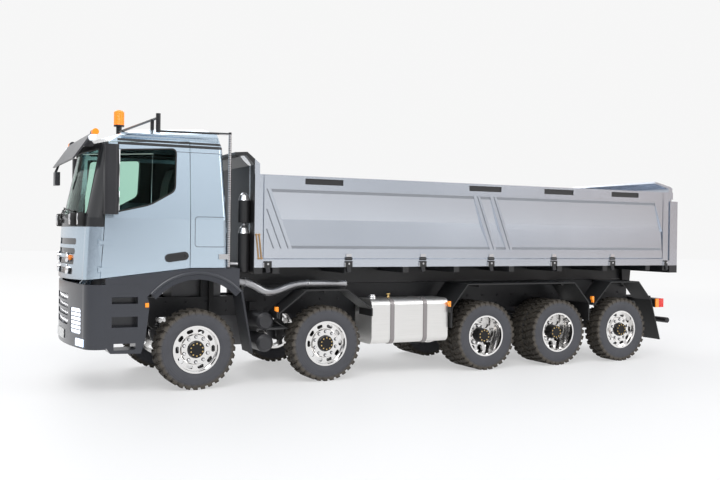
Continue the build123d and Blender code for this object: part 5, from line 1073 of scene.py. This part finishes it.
room = past.tint(room, (0.58, 0.60, 0.63))
room = corner.tint(room, (0.54, 0.44, 0.40))
room = (band * 0.5).tint(room, (0.26, 0.26, 0.27))
room = sky.tint(room, (0.94, 0.95, 0.97))
mirrored = toward.node("Background", {}, {"Color": room, "Strength": 1.0})
backdrop = toward.node("Background", {}, {"Color": (0.925, 0.925, 0.925, 1.0), "Strength": 1.0})
soft = Wire(tree.nodes["Background"].outputs[0])
base = toward.node("MixShader", {}, {0: Wire(rays["Is Glossy Ray"]), 1: soft, 2: mirrored})
clear = (Wire(rays["Is Camera Ray"]) + Wire(rays["Is Transmission Ray"])).capped()
shown = toward.node("MixShader", {}, {0: clear, 1: base, 2: backdrop})
tree.links.new(shown.socket, tree.nodes["World Output"].inputs["Surface"])

# Lamps: three wide area lights over the table, a key from the front left, a fill from the rear left and one
# from the right.
LAMPS = (  # name, place, target, size, power
    ("key", (0.9, 1.5, 1.7), (0.0, 0.0, 0.12), 1.4, 26.0),
    ("fill", (-1.5, 1.4, 1.1), (-0.1, 0.0, 0.12), 1.2, 12.0),
    ("back", (0.2, -1.6, 1.5), (0.0, 0.0, 0.12), 1.4, 14.0),
)
for name, lamp_place, target, size, power in LAMPS:
    light = bpy.data.lights.new(name, "AREA")
    light.size = size
    light.energy = power
    lamp = bpy.data.objects.new(name, light)
    lamp.location = lamp_place
    lamp.rotation_mode = "QUATERNION"
    lamp.rotation_quaternion = (Vector(target) - Vector(lamp_place)).to_track_quat("-Z", "Y")
    scene.collection.objects.link(lamp)

# Camera: stands where the photograph was taken, as fitted to the wheels, the bed and the cab. Angles are in
# radians, and the focal length was fitted in pixels of the photograph.
CAMERA_PLACE = (0.4930, 0.9108, 0.1523)
CAMERA_YAW = -0.462
CAMERA_PITCH = -0.006
CAMERA_ROLL = 0.013
FOCAL_PIXELS = 873.06
PHOTO_WIDTH = 720.0
SENSOR_WIDTH = 36.0
lens_data = bpy.data.cameras.new("camera")
lens_data.sensor_width = SENSOR_WIDTH
lens_data.lens = FOCAL_PIXELS * SENSOR_WIDTH / PHOTO_WIDTH
camera = bpy.data.objects.new("camera", lens_data)
level = cos(CAMERA_PITCH)
forward = Vector((sin(CAMERA_YAW) * level, -cos(CAMERA_YAW) * level, sin(CAMERA_PITCH)))
camera.location = CAMERA_PLACE
camera.rotation_mode = "QUATERNION"
camera.rotation_quaternion = Quaternion(forward, -CAMERA_ROLL) @ forward.to_track_quat("-Z", "Y")
lens_data.clip_start = 0.01
scene.collection.objects.link(camera)
scene.camera = camera
scene.view_settings.view_transform = "Standard"

low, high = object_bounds()
